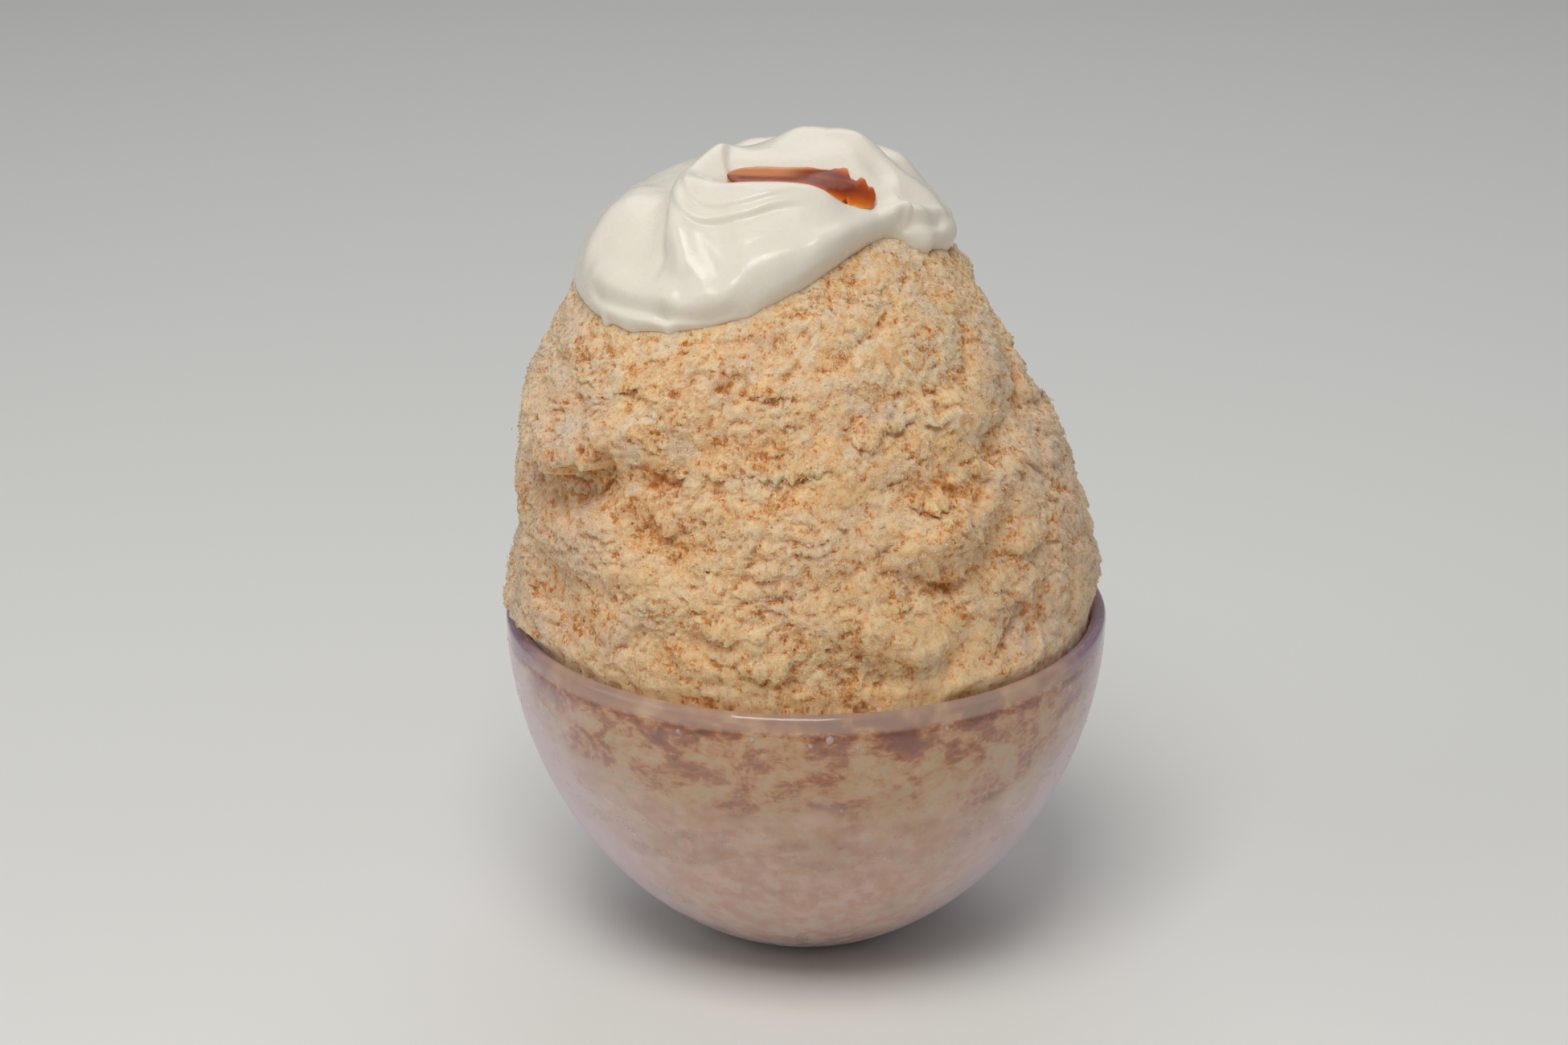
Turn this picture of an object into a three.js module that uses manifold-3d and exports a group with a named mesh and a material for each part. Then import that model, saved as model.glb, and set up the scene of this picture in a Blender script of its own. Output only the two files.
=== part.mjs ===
/**
 * A serving of shaved ice: a glass bowl, the heap of syruped shaved ice that fills it and stands high above
 * its rim, a dollop of whipped cream over the top, and caramel sauce lying in the cream's swirl.
 *
 * Units are millimetres and +Z is up. The origin is the centre of the flat spot that the bowl stands on,
 * and -Y is the front. An azimuth is in degrees round +Z: 0 is the front and 90 is the +X side.
 */
import * as THREE from "three";
import { ImprovedNoise } from "three/addons/math/ImprovedNoise.js";
import { mergeVertices } from "three/addons/utils/BufferGeometryUtils.js";
import Module from "manifold-3d";

const wasm = await Module();
wasm.setup();

// ---------------------------------------------------------------- driving dimensions

const GAP = 0.3; // clearance left between pieces that touch

const BOWL = {
  rimRadius: 60,
  height: 69,
  footRadius: 16,
  wall: 3,
  floor: 3.5,
  fullness: 1.9, // exponent of the superellipse that the wall follows: 2 is an ellipse
  segments: 56,
  wallSteps: 9,
  lipSteps: 5,
};

const MOUND = {
  radius: 57.3, // at its widest, just above the rim
  widestZ: 72,
  rise: 81, // from its widest level to its peak, under the cream
  taper: 1.85, // exponents of the superellipse that its side follows, of height and of radius
  girth: 2.6,
  lean: new THREE.Vector2(-6.0, 1.5), // how far its upper part leans over, to the left and a little back
  overhang: { reach: 3.0, azimuth: -80, spread: 32 }, // where the ice hangs out over the rim
  segments: 80,
  rings: 28, // as far up as the cream's edge, and a few more beneath the cream
  hiddenLevel: 0.78,
  hiddenRings: 4,
};

// The cream's lower edge: its height on the mound at each azimuth, all the way round.
const CREAM_EDGE = [
  [-180, 139], [-140, 137], [-105, 136.5], [-75, 135.2], [-45, 134.6], [-20, 137.2], [5, 143],
  [30, 147.5], [60, 148], [85, 142.5], [110, 142], [145, 141],
];
const CREAM = {
  thickness: 4.6, // near its edge, over the sides of the mound
  crown: 4.6, // extra thickness over its peak
  edgeFullness: 3.4, // how blunt the edge is
  segments: 60,
  topRings: 22,
  underRings: 3,
};

const CARAMEL = {
  halfWidth: 5.0,
  depth: 2.6, // below its edge, at its middle
  bulge: 0.4, // above its edge, at its middle
  raggedness: 0.16, // share of its half width by which its edge wanders
  facing: new THREE.Vector3(0, -0.12, 1).normalize(), // it lies almost level
  segments: 14,
  stations: 16,
  headroom: 7, // how far above the sauce the cream is cut away
};

// ---------------------------------------------------------------- small helpers

const noise = new ImprovedNoise();
const radians = THREE.MathUtils.degToRad;
const smooth = THREE.MathUtils.smoothstep;

/** The unit vector that points level, outwards at an azimuth. */
const outward = (azimuth) =>
  new THREE.Vector3(Math.sin(radians(azimuth)), -Math.cos(radians(azimuth)), 0);

/** The signed difference of two azimuths, in degrees, from -180 to 180. */
const turn = (a, b) => ((((a - b) % 360) + 540) % 360) - 180;

/** Closed surface through level-by-level rings of points, from a bottom pole to a top pole, facing out. */
function skin(bottom, rings, top) {
  const count = rings[0].length;
  const points = [bottom, ...rings.flat(), top];
  const faces = [];
  const at = (ring, i) => 1 + ring * count + (i % count);
  for (let i = 0; i < count; i++) {
    faces.push(0, at(0, i + 1), at(0, i));
    for (let ring = 0; ring + 1 < rings.length; ring++) {
      const [a, b] = [at(ring, i), at(ring, i + 1)];
      const [c, d] = [at(ring + 1, i), at(ring + 1, i + 1)];
      // The diagonal changes sides from face to face, so that no direction is favoured.
      if ((ring + i) % 2) faces.push(a, b, d, a, d, c);
      else faces.push(a, b, c, b, d, c);
    }
    faces.push(points.length - 1, at(rings.length - 1, i), at(rings.length - 1, i + 1));
  }
  const geometry = new THREE.BufferGeometry().setFromPoints(points);
  geometry.setIndex(faces);
  return geometry;
}

function toSolid(geometry) {
  const plain = geometry.clone();
  plain.deleteAttribute("normal");
  plain.deleteAttribute("uv");
  const merged = mergeVertices(plain, 1e-4);
  return new wasm.Manifold(
    new wasm.Mesh({
      numProp: 3,
      vertProperties: merged.attributes.position.array,
      triVerts: new Uint32Array(merged.index.array),
    }),
  );
}

function toGeometry(solid) {
  const mesh = solid.getMesh();
  const geometry = new THREE.BufferGeometry();
  geometry.setAttribute("position", new THREE.BufferAttribute(mesh.vertProperties, 3));
  geometry.setIndex(new THREE.BufferAttribute(mesh.triVerts, 1));
  geometry.computeVertexNormals();
  return geometry;
}

/**
 * A stroke is a soft ridge (rise above 0) or furrow (below 0) that runs along a path of points.
 * The sum of the strokes at a point is how far they move the surface there, along its normal.
 */
function strokesAt(strokes, point) {
  let sum = 0;
  for (const stroke of strokes) {
    let nearest = Infinity;
    for (const p of stroke.points) nearest = Math.min(nearest, p.distanceToSquared(point));
    sum += stroke.rise * Math.exp(-nearest / (stroke.width * stroke.width));
  }
  return sum;
}

const strokePoints = (path, steps = 24) =>
  path.length > 1 ? new THREE.CatmullRomCurve3(path).getPoints(steps) : path;

// ---------------------------------------------------------------- bowl

/** Points [radius, z] up a wall of the bowl, from the level floor to the start of the lip. */
function wallPoints(inset, floorZ, steps) {
  const { rimRadius, height, footRadius, wall, fullness } = BOWL;
  const lipZ = height - wall / 2;
  const fullDepth = lipZ / (1 - (footRadius / rimRadius) ** fullness) ** (1 / fullness);
  const [radius, depth] = [rimRadius - inset, fullDepth - inset];
  const lowest = Math.asin(((lipZ - floorZ) / depth) ** (fullness / 2));
  return Array.from({ length: steps + 1 }, (_, i) => {
    const angle = lowest * (1 - i / steps);
    return new THREE.Vector2(
      radius * Math.cos(angle) ** (2 / fullness),
      lipZ - depth * Math.sin(angle) ** (2 / fullness),
    );
  });
}

function bowlGeometry() {
  const { rimRadius, height, wall, floor, segments, wallSteps, lipSteps } = BOWL;
  const lip = new THREE.Vector2(rimRadius - wall / 2, height - wall / 2);
  const lipArc = Array.from({ length: lipSteps - 1 }, (_, i) => {
    const angle = (Math.PI * (i + 1)) / lipSteps;
    return new THREE.Vector2(Math.cos(angle), Math.sin(angle)).multiplyScalar(wall / 2).add(lip);
  });
  const profile = [
    new THREE.Vector2(0, 0),
    ...wallPoints(0, 0, wallSteps),
    ...lipArc,
    ...wallPoints(wall, floor, wallSteps).reverse(),
    new THREE.Vector2(0, floor),
  ];
  return new THREE.LatheGeometry(profile, segments).rotateX(Math.PI / 2);
}

// ---------------------------------------------------------------- shaved ice

/** The mound's smooth form. level runs from 0 at its widest to 1 at its peak, evenly along its side. */
function moundForm(level, azimuth) {
  const climb = Math.sin((level * Math.PI) / 2);
  const radius = MOUND.radius * Math.max(0, 1 - climb ** MOUND.taper) ** (1 / MOUND.girth);
  const lean = smooth(climb, 0.1, 0.68) - 0.35 * smooth(climb, 0.74, 1);
  const { reach, azimuth: middle, spread } = MOUND.overhang;
  const over = reach * Math.exp(-((turn(azimuth, middle) / spread) ** 2) - (climb / 0.16) ** 2);
  return outward(azimuth)
    .multiplyScalar(radius + over)
    .add(new THREE.Vector3(MOUND.lean.x * lean, MOUND.lean.y * lean, MOUND.widestZ + MOUND.rise * climb));
}

/** The mound form's outward normal, taken by small steps along the form. */
function moundNormal(level, azimuth) {
  const step = 1e-3;
  if (level > 1 - 2 * step) return new THREE.Vector3(0, 0, 1);
  const low = Math.max(level, step);
  const up = moundForm(low + step, azimuth).sub(moundForm(low - step, azimuth));
  const round = moundForm(low, azimuth + step * 90).sub(moundForm(low, azimuth - step * 90));
  return round.cross(up).normalize();
}

const levelOfHeight = (z) =>
  Math.asin(THREE.MathUtils.clamp((z - MOUND.widestZ) / MOUND.rise, 0, 1)) / (Math.PI / 2);

/** A point on the mound's form from [azimuth, height], for strokes that run over it. */
const onMound = ([azimuth, z]) => moundForm(levelOfHeight(z), azimuth);

const iceStroke = (rise, width, path) => ({ rise, width, points: strokePoints(path.map(onMound)) });

const ICE_STROKES = [
  // Front left: a shelf of packed ice over a deep recess, and the furrow down the shelf's far end.
  iceStroke(3.2, 5, [[-76, 114], [-60, 110], [-43, 114], [-25, 121]]),
  iceStroke(-3.8, 4.6, [[-70, 101], [-54, 102], [-38, 106], [-22, 112]]),
  iceStroke(-2.6, 4, [[-82, 124], [-82, 112], [-76, 104]]),
  // Front right: a long slanting crest, the hollow under it, and a second, lower crest.
  iceStroke(2.6, 4.6, [[66, 126], [53, 121], [38, 119], [24, 116], [12, 113]]),
  iceStroke(-2.6, 4, [[60, 113], [44, 111], [28, 108], [12, 106]]),
  iceStroke(2.0, 4, [[62, 107], [48, 105], [36, 104]]),
  // Front right, lower: a frosty knob over a scooped hollow with a smooth side.
  iceStroke(2.8, 5.5, [[18, 103], [26, 100], [33, 99]]),
  iceStroke(-3.0, 4.8, [[27, 93], [36, 92], [45, 96]]),
  iceStroke(-2.2, 8, [[46, 92], [50, 82], [52, 75]]),
  iceStroke(2.6, 5.5, [[12, 91], [19, 85], [24, 80]]),
  iceStroke(-2.6, 4, [[10, 77], [20, 76], [31, 80]]),
  // Front centre and left, lower: pockets and low ridges.
  iceStroke(-2.4, 4, [[-35, 101], [-28, 99], [-20, 101]]),
  iceStroke(2.0, 4.6, [[-62, 94], [-46, 93], [-30, 92]]),
  iceStroke(-1.8, 6, [[-62, 86], [-52, 80]]),
  iceStroke(1.6, 4.4, [[-22, 128], [-6, 124], [10, 127]]),
  iceStroke(1.5, 4.4, [[-14, 109], [0, 104], [9, 98]]),
  iceStroke(1.4, 5, [[-20, 86], [-6, 82], [4, 84]]),
  // Sides: the step on the right shoulder, and the straighter left side.
  iceStroke(1.2, 5, [[104, 103], [88, 106], [72, 110]]),
  iceStroke(-2.0, 9, [[56, 122], [90, 123], [124, 120]]),
  iceStroke(-1.8, 5.5, [[68, 114], [84, 114], [100, 112]]),
  iceStroke(-2.0, 4.5, [[-112, 80], [-92, 81], [-78, 83]]),
  iceStroke(1.4, 5, [[-112, 106], [-92, 104], [-80, 99]]),
  iceStroke(-1.8, 6, [[-112, 127], [-94, 127], [-78, 128]]),
  // Back: two ledges and a recess, as the ice is packed by hand all round.
  iceStroke(2.8, 5.5, [[130, 122], [155, 117], [180, 120], [-158, 114]]),
  iceStroke(-2.8, 5, [[135, 111], [160, 108], [-176, 110]]),
  iceStroke(2.4, 6, [[-170, 94], [-146, 90], [-124, 96]]),
  iceStroke(-2.4, 5, [[150, 88], [172, 84], [-165, 82]]),
];

/** Lumps of the packed ice, in two sizes, flattened because it was laid down in layers. */
function iceLumps(p) {
  const big = noise.noise(p.x / 17 + 3.1, p.y / 17 - 8.4, p.z / 12 + 1.7);
  const small = noise.noise(p.x / 8.5 - 5.2, p.y / 8.5 + 2.6, p.z / 6.5 + 9.3);
  return 2.0 * big + 1.3 * small;
}

/**
 * A point on the ice's surface above the rim. The relief dies out at the rim and at the cream's edge,
 * and under the cream the surface sinks a little, so that the facets of the two never meet.
 */
function icePoint(level, azimuth) {
  const form = moundForm(level, azimuth);
  const edge = creamEdge(azimuth);
  const share = smooth(form.z, 71, 78) * (1 - smooth(form.z, edge - 6, edge - 1));
  const relief = share * (strokesAt(ICE_STROKES, form) + iceLumps(form));
  const sunk = 2 * GAP * smooth(form.z, edge, edge + 4);
  return form.addScaledVector(moundNormal(level, azimuth), relief - sunk);
}

function iceGeometry() {
  const { segments, rings, hiddenLevel, hiddenRings } = MOUND;
  const azimuths = Array.from({ length: segments }, (_, i) => (360 * i) / segments);
  const inBowl = wallPoints(BOWL.wall + GAP, BOWL.floor + GAP, BOWL.wallSteps);
  const aroundLip = [
    new THREE.Vector2(BOWL.rimRadius - BOWL.wall - GAP, BOWL.height - 0.1),
    new THREE.Vector2(BOWL.rimRadius - BOWL.wall + 2 * GAP, BOWL.height + 3 * GAP),
  ];
  const lower = [...inBowl, ...aroundLip].map(({ x, y }) =>
    azimuths.map((a) => outward(a).multiplyScalar(x).setZ(y)),
  );
  const levels = [
    ...Array.from({ length: rings }, (_, i) => (hiddenLevel * i) / rings),
    ...Array.from({ length: hiddenRings }, (_, i) => hiddenLevel + ((1 - hiddenLevel) * i) / hiddenRings),
  ];
  const upper = levels.map((level) => azimuths.map((a) => icePoint(level, a)));
  const bottom = new THREE.Vector3(0, 0, BOWL.floor + GAP);
  return skin(bottom, [...lower, ...upper], icePoint(1, 0));
}

// ---------------------------------------------------------------- whipped cream

/** The height of the cream's lower edge at an azimuth, by a smooth curve through CREAM_EDGE. */
function creamEdge(azimuth) {
  const count = CREAM_EDGE.length;
  const a = ((azimuth + 180) % 360 + 360) % 360 - 180;
  let i = count - 1;
  while (i > 0 && CREAM_EDGE[i][0] > a) i--;
  const entry = (k) => CREAM_EDGE[(k + count) % count];
  const start = entry(i)[0];
  const span = ((entry(i + 1)[0] - start + 359.9) % 360) + 0.1;
  const t = (a - start) / span;
  const [p0, p1, p2, p3] = [-1, 0, 1, 2].map((k) => entry(i + k)[1]);
  return (
    0.5 *
    (2 * p1 + (p2 - p0) * t + (2 * p0 - 5 * p1 + 4 * p2 - p3) * t * t + (3 * p1 - p0 - 3 * p2 + p3) * t ** 3)
  );
}

const creamStroke = (rise, width, path) => ({
  rise,
  width,
  points: strokePoints(path.map((p) => new THREE.Vector3(...p))),
});

// The middle of the caramel's surface, from its left end to where it spills to the front right.
const CARAMEL_PATH = [
  [-14.5, -10, 160], [-10, -10.5, 160], [-4, -10.8, 160],
  [2, -11.4, 159.6], [7, -11.8, 158], [12.5, -12, 155.6],
];

const CREAM_STROKES = [
  // The crest behind the caramel, the trough that the caramel lies in, and the swirl's flat turn in front.
  creamStroke(3.0, 6, [[-1, 9, 163], [4, 8, 164], [9, 5, 163]]),
  creamStroke(-4.6, 5.6, [[-13, -11, 161], [-8, -11.4, 161], [-2, -11.6, 161], [3, -11.8, 160]]),
  creamStroke(-2.6, 5.2, [[8, -12, 159], [12, -11.6, 157.5]]),
  creamStroke(2.2, 4.5, [[-20, -16, 160], [-13, -19.4, 160], [-4, -20.4, 160], [3, -19.4, 159]]),
  // Left: a smooth scooped face, the ridge that cuts it off on its right, and the rim round its left.
  creamStroke(-3.0, 9, [[-29, 4, 157], [-24, 11, 158], [-16, 16, 159.5], [-8, 17, 160.5]]),
  creamStroke(-2.6, 5.5, [[-19, 8, 160], [-26, -4, 158], [-29, -12, 155], [-31, -20, 151], [-31, -26, 147]]),
  creamStroke(1.3, 3.2, [[-16, 2, 162], [-22, -8, 160], [-24, -15, 157], [-24, -22, 154], [-24, -29, 148]]),
  creamStroke(1.4, 4.5, [[-34, 2, 155], [-38, -6, 151], [-41, -10, 146], [-42, -15, 142], [-39, -22, 139.5]]),
  // Front: the ridge, dip and roll along the lower edge, and the valleys and swellings of the body.
  creamStroke(1.3, 2.6, [[-39, -19, 143.5], [-36, -22.5, 143.8], [-31, -25, 144]]),
  creamStroke(-1.4, 3.0, [[-37.5, -23.7, 141.2], [-32, -27.6, 141.2], [-27, -31, 141.6]]),
  creamStroke(1.3, 3.0, [[-36, -26, 138], [-30, -31, 137.6], [-23, -35, 138]]),
  creamStroke(1.6, 3.6, [[-24, -33.5, 141], [-20, -34.5, 142], [-16, -35, 142.5]]),
  creamStroke(-1.4, 2.8, [[-26, -26, 149], [-25, -29.5, 145.5], [-23.5, -32, 143]]),
  creamStroke(-1.2, 3.4, [[-17, -27, 153], [-16, -30.5, 149.5], [-15, -33, 146.5]]),
  creamStroke(0.9, 2.8, [[-14, -34, 145], [-11, -33.5, 148], [-8, -33, 149.8], [-3, -31.5, 150.8]]),
  creamStroke(1.0, 6, [[-4, -33, 147], [2, -30, 148.5], [7, -26, 149]]),
  // Right: the thin shelf that ends in a point, the curl, the crease over it, and the shoulder above.
  creamStroke(1.5, 2.4, [[18, -12, 149.5], [13.5, -16, 150], [8, -22, 150.5], [2.5, -27.5, 151.5]]),
  creamStroke(1.2, 3.4, [[20, -10, 147.6], [24, -7.5, 146.6], [27, -1, 147], [27, 6, 147.5]]),
  creamStroke(-1.6, 2.4, [[16.5, -12.5, 151.4], [21, -9.5, 150.8], [25, -6, 150.6], [28.5, -1, 150.5]]),
  creamStroke(-1.3, 5, [[20, 6, 158], [26, 6, 154], [30, 4, 149]]),
  creamStroke(-1.2, 4, [[14, -3, 160.5], [18, -4, 158], [20, -6, 155.5]]),
  // Back: the swirl's turn comes round and runs out on the left.
  creamStroke(1.8, 5, [[18, 17, 156], [12, 23, 157], [2, 26, 157], [-10, 25, 157]]),
  creamStroke(-1.6, 4, [[14, 12, 160], [3, 18, 161.5], [-9, 17, 161.5]]),
];

/** A point of the cream's upper or lower side. across runs from 0 at the middle to 1 at the cream's edge. */
function creamPoint(across, azimuth, top) {
  const edge = levelOfHeight(creamEdge(azimuth));
  const level = 1 - across * (1 - edge);
  const base = moundForm(level, azimuth);
  const normal = moundNormal(level, azimuth);
  if (!top) return base.addScaledVector(normal, GAP);
  const rounding = Math.sqrt(Math.max(0, 1 - across ** (2 * CREAM.edgeFullness)));
  const thickness = CREAM.thickness + CREAM.crown * (1 - across * across);
  const skinPoint = base.clone().addScaledVector(normal, thickness);
  const swirl = strokesAt(CREAM_STROKES, skinPoint) * rounding;
  return base.addScaledVector(normal, GAP + rounding * thickness + swirl);
}

function creamBlank() {
  const azimuths = Array.from({ length: CREAM.segments }, (_, i) => (360 * i) / CREAM.segments);
  const under = Array.from({ length: CREAM.underRings }, (_, i) =>
    azimuths.map((a) => creamPoint((0.97 * (i + 1)) / CREAM.underRings, a, false)),
  );
  // Steps of the upper side get shorter towards the edge, where it curves down.
  const over = Array.from({ length: CREAM.topRings }, (_, i) => {
    const across = 1 - (i / CREAM.topRings) ** 1.35;
    return azimuths.map((a) => creamPoint(across, a, true));
  });
  return skin(creamPoint(0, 0, false), [...under, ...over], creamPoint(0, 0, true));
}

// ---------------------------------------------------------------- caramel sauce

/** The caramel as a shallow boat along its path. spare widens it all round, and headroom raises its top. */
function caramelGeometry(spare = 0, headroom = 0) {
  const { halfWidth, depth, bulge, raggedness, facing, segments, stations } = CARAMEL;
  const curve = new THREE.CatmullRomCurve3(CARAMEL_PATH.map((p) => new THREE.Vector3(...p)));
  const rings = [];
  for (let i = 1; i < stations; i++) {
    const along = i / stations;
    const ends = Math.sqrt(1 - (2 * along - 1) ** 4); // 1 in the middle, falling to 0 at both ends
    const wander = 1 + raggedness * noise.noise(7 * along, 0.5, 2.5);
    const half = halfWidth * ends * wander + spare;
    const side = facing.clone().cross(curve.getTangentAt(along)).normalize();
    rings.push(
      Array.from({ length: segments }, (_, k) => {
        const angle = (2 * Math.PI * k) / segments;
        const reach = Math.sin(angle) < 0 ? depth * ends + spare : bulge + spare + headroom;
        return curve
          .getPointAt(along)
          .addScaledVector(side, half * Math.cos(angle))
          .addScaledVector(facing, reach * Math.sin(angle));
      }),
    );
  }
  const tip = (end, way) =>
    curve.getPointAt(end).addScaledVector(curve.getTangentAt(end), way * (spare + 0.01));
  return skin(tip(0, -1), rings, tip(1, 1));
}

function creamGeometry() {
  const room = toSolid(caramelGeometry(GAP, CARAMEL.headroom));
  return toGeometry(toSolid(creamBlank()).subtract(room));
}

// ---------------------------------------------------------------- the dessert

const MATERIALS = {
  glass: new THREE.MeshStandardMaterial({
    color: 0xb3a6ab, roughness: 0.45, metalness: 0, transparent: true, opacity: 0.55,
  }),
  ice: new THREE.MeshStandardMaterial({ color: 0xe3bd86, roughness: 0.75, metalness: 0 }),
  cream: new THREE.MeshStandardMaterial({ color: 0xf2ecdc, roughness: 0.35, metalness: 0 }),
  caramel: new THREE.MeshStandardMaterial({ color: 0xa14a1c, roughness: 0.12, metalness: 0 }),
};

const dessert = new THREE.Group();

function addPiece(name, geometry, material) {
  const mesh = new THREE.Mesh(geometry, material);
  mesh.name = name;
  dessert.add(mesh);
}

addPiece("glass_bowl", bowlGeometry(), MATERIALS.glass);
addPiece("shaved_ice", iceGeometry(), MATERIALS.ice);
addPiece("whipped_cream", creamGeometry(), MATERIALS.cream);
addPiece("caramel_sauce", caramelGeometry(), MATERIALS.caramel);

export default dessert;
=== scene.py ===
"""The looks of a shaved ice dessert: syruped ice, whipped cream and caramel in a frosted glass bowl.

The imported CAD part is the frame. Finer meshes of the same form replace its bowl, ice, cream and caramel.
Shapes are worked out in millimetres, with +Z up and -Y the front, and become metres when a mesh is made.
An azimuth is in degrees round +Z: 0 is the front and 90 is the +X side.
"""

import math

import bpy
import numpy as np
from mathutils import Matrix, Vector
from mathutils.bvhtree import BVHTree

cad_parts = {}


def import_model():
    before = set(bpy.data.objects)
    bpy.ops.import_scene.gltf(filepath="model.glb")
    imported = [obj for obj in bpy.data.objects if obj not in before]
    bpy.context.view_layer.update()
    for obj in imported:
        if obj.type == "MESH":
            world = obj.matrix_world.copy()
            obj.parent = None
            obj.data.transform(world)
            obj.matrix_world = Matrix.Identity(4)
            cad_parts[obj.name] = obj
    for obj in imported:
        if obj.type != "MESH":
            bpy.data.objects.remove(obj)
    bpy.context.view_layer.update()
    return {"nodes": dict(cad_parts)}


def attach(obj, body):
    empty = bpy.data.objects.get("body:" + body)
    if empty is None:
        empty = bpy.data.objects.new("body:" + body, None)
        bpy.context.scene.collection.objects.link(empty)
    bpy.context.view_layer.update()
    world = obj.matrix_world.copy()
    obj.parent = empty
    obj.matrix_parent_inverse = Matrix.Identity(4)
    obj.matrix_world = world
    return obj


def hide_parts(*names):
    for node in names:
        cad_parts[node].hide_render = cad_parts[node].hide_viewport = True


MM = 0.001

# ---- sizes, as in the CAD part

BOWL_RIM = 60
BOWL_HEIGHT = 69
BOWL_FOOT = 16
BOWL_WALL = 3
BOWL_FLOOR = 3.5
BOWL_FULLNESS = 1.9
LIP_Z = BOWL_HEIGHT - BOWL_WALL / 2

MOUND_RADIUS = 57.3
MOUND_WIDEST_Z = 72
MOUND_RISE = 81
MOUND_TAPER = 1.85
MOUND_GIRTH = 2.6
MOUND_LEAN = (-6, 1.5)
LEANS_OUT, LEANS_BACK, BACK_SHARE = (0.1, 0.68), (0.74, 1), 0.35
OVERHANG_REACH, OVERHANG_AZIMUTH, OVERHANG_SPREAD, OVERHANG_RISE = 3, -80, 32, 0.16

CREAM_EDGE = [
    (-180, 139), (-140, 137), (-105, 136.5), (-75, 135.2), (-45, 134.6), (-20, 137.2), (5, 143),
    (30, 147.5), (60, 148), (85, 142.5), (110, 142), (145, 141),
]
CREAM_THICKNESS = 4.6
CREAM_CROWN = 4.6
CREAM_EDGE_FULLNESS = 3.4

# ---- small helpers


def smoothstep(value, low, high):
    """0 up to low, 1 from high on, and a smooth rise between them."""
    t = np.clip((value - low) / (high - low), 0, 1)
    return t * t * (3 - 2 * t)


def outward(azimuth):
    """Unit vectors that point level, outwards at the azimuths given."""
    a = np.radians(azimuth)
    return np.stack([np.sin(a), -np.cos(a), np.zeros_like(a)], -1)


def all_round(count):
    """Azimuths spaced evenly all the way round."""
    return np.linspace(0, 360, count, endpoint=False)


def turn(a, b):
    """The signed difference of azimuths, in degrees, from -180 to 180."""
    return (a - b + 540) % 360 - 180


def unit(vectors):
    return vectors / np.maximum(np.linalg.norm(vectors, axis=-1, keepdims=True), 1e-9)


def downhill(normal):
    """Unit vectors that lie in the surface with these normals and point down it."""
    upright = np.broadcast_to([0, 0, 1], normal.shape)
    return unit(np.cross(normal, np.cross(normal, upright)))


HASH_FACTORS = np.array([73856093, 19349663, 83492791], np.uint64)
HASH_MIXER = np.uint64(1274126177)
SEED_STEP = 17.31
NOISE_GAIN = 1.5


def noise(points, scale, seed):
    """Smooth noise from about -1 to 1. scale is its features' size, one number or one for each axis."""
    p = points / np.asarray(scale, float) + seed * SEED_STEP
    cell = np.floor(p).astype(np.int64)
    inside = p - cell
    weight = inside**3 * (inside * (inside * 6 - 15) + 10)
    total = np.zeros(p.shape[:-1])
    for corner in np.ndindex(2, 2, 2):
        code = (cell + corner).astype(np.uint64) * HASH_FACTORS
        code = code[..., 0] ^ code[..., 1] ^ code[..., 2]
        code = (code ^ (code >> np.uint64(13))) * HASH_MIXER
        code = code ^ (code >> np.uint64(16))
        slope = np.stack([(code >> np.uint64(s)) & np.uint64(1023) for s in (0, 10, 20)], -1) / 511.5 - 1
        share = np.prod(np.where(corner, weight, 1 - weight), axis=-1)
        total += share * np.sum(slope * (inside - corner), axis=-1)
    return total * NOISE_GAIN


def warped(points, reach, scale, seed):
    """The points, each moved by up to about reach, so that noise read there curls and swirls."""
    shift = np.stack([noise(points, scale, seed + k) for k in range(3)], -1)
    return points + reach * shift


def between(a, b, c, d, t):
    """The Catmull-Rom curve through a, b, c and d, from b at t = 0 to c at t = 1."""
    return 0.5 * (2 * b + (c - a) * t + (2 * a - 5 * b + 4 * c - d) * t**2 + (3 * b - a - 3 * c + d) * t**3)


def catmull_rom(points, steps=24):
    """Points along a smooth curve through the given ones."""
    p = np.asarray(points, float)
    if len(p) == 1:
        return p
    p = np.vstack([2 * p[0] - p[1], p, 2 * p[-1] - p[-2]])
    t = np.linspace(0, len(p) - 3 - 1e-9, steps + 1)
    i = t.astype(int)
    return between(p[i], p[i + 1], p[i + 2], p[i + 3], (t - i)[:, None])


def nearest_on(path, points):
    """The vector to each point from the path's nearest spot, the path's way there, and how far along."""
    best = np.full(points.shape[:-1], np.inf)
    gap, way = np.zeros(points.shape), np.zeros(points.shape)
    along = np.zeros(points.shape[:-1])
    if len(path) == 1:
        return points - path[0], way, along + 0.5
    for number, (start, end) in enumerate(zip(path[:-1], path[1:])):
        step = end - start
        t = np.clip((points - start) @ step / (step @ step), 0, 1)
        from_path = points - start - t[..., None] * step
        squared = np.sum(from_path**2, axis=-1)
        closer = squared < best
        best[closer] = squared[closer]
        gap[closer] = from_path[closer]
        way[closer] = step
        along[closer] = (number + t[closer]) / (len(path) - 1)
    return gap, unit(way), along


def strokes_at(strokes, points):
    """How far the soft ridges and furrows (rise, width, path) move the surface at the points."""
    total = np.zeros(points.shape[:-1])
    for rise, width, path in strokes:
        gap, _, _ = nearest_on(catmull_rom(path), points)
        total += rise * np.exp(-np.sum(gap**2, axis=-1) / width**2)
    return total


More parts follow.
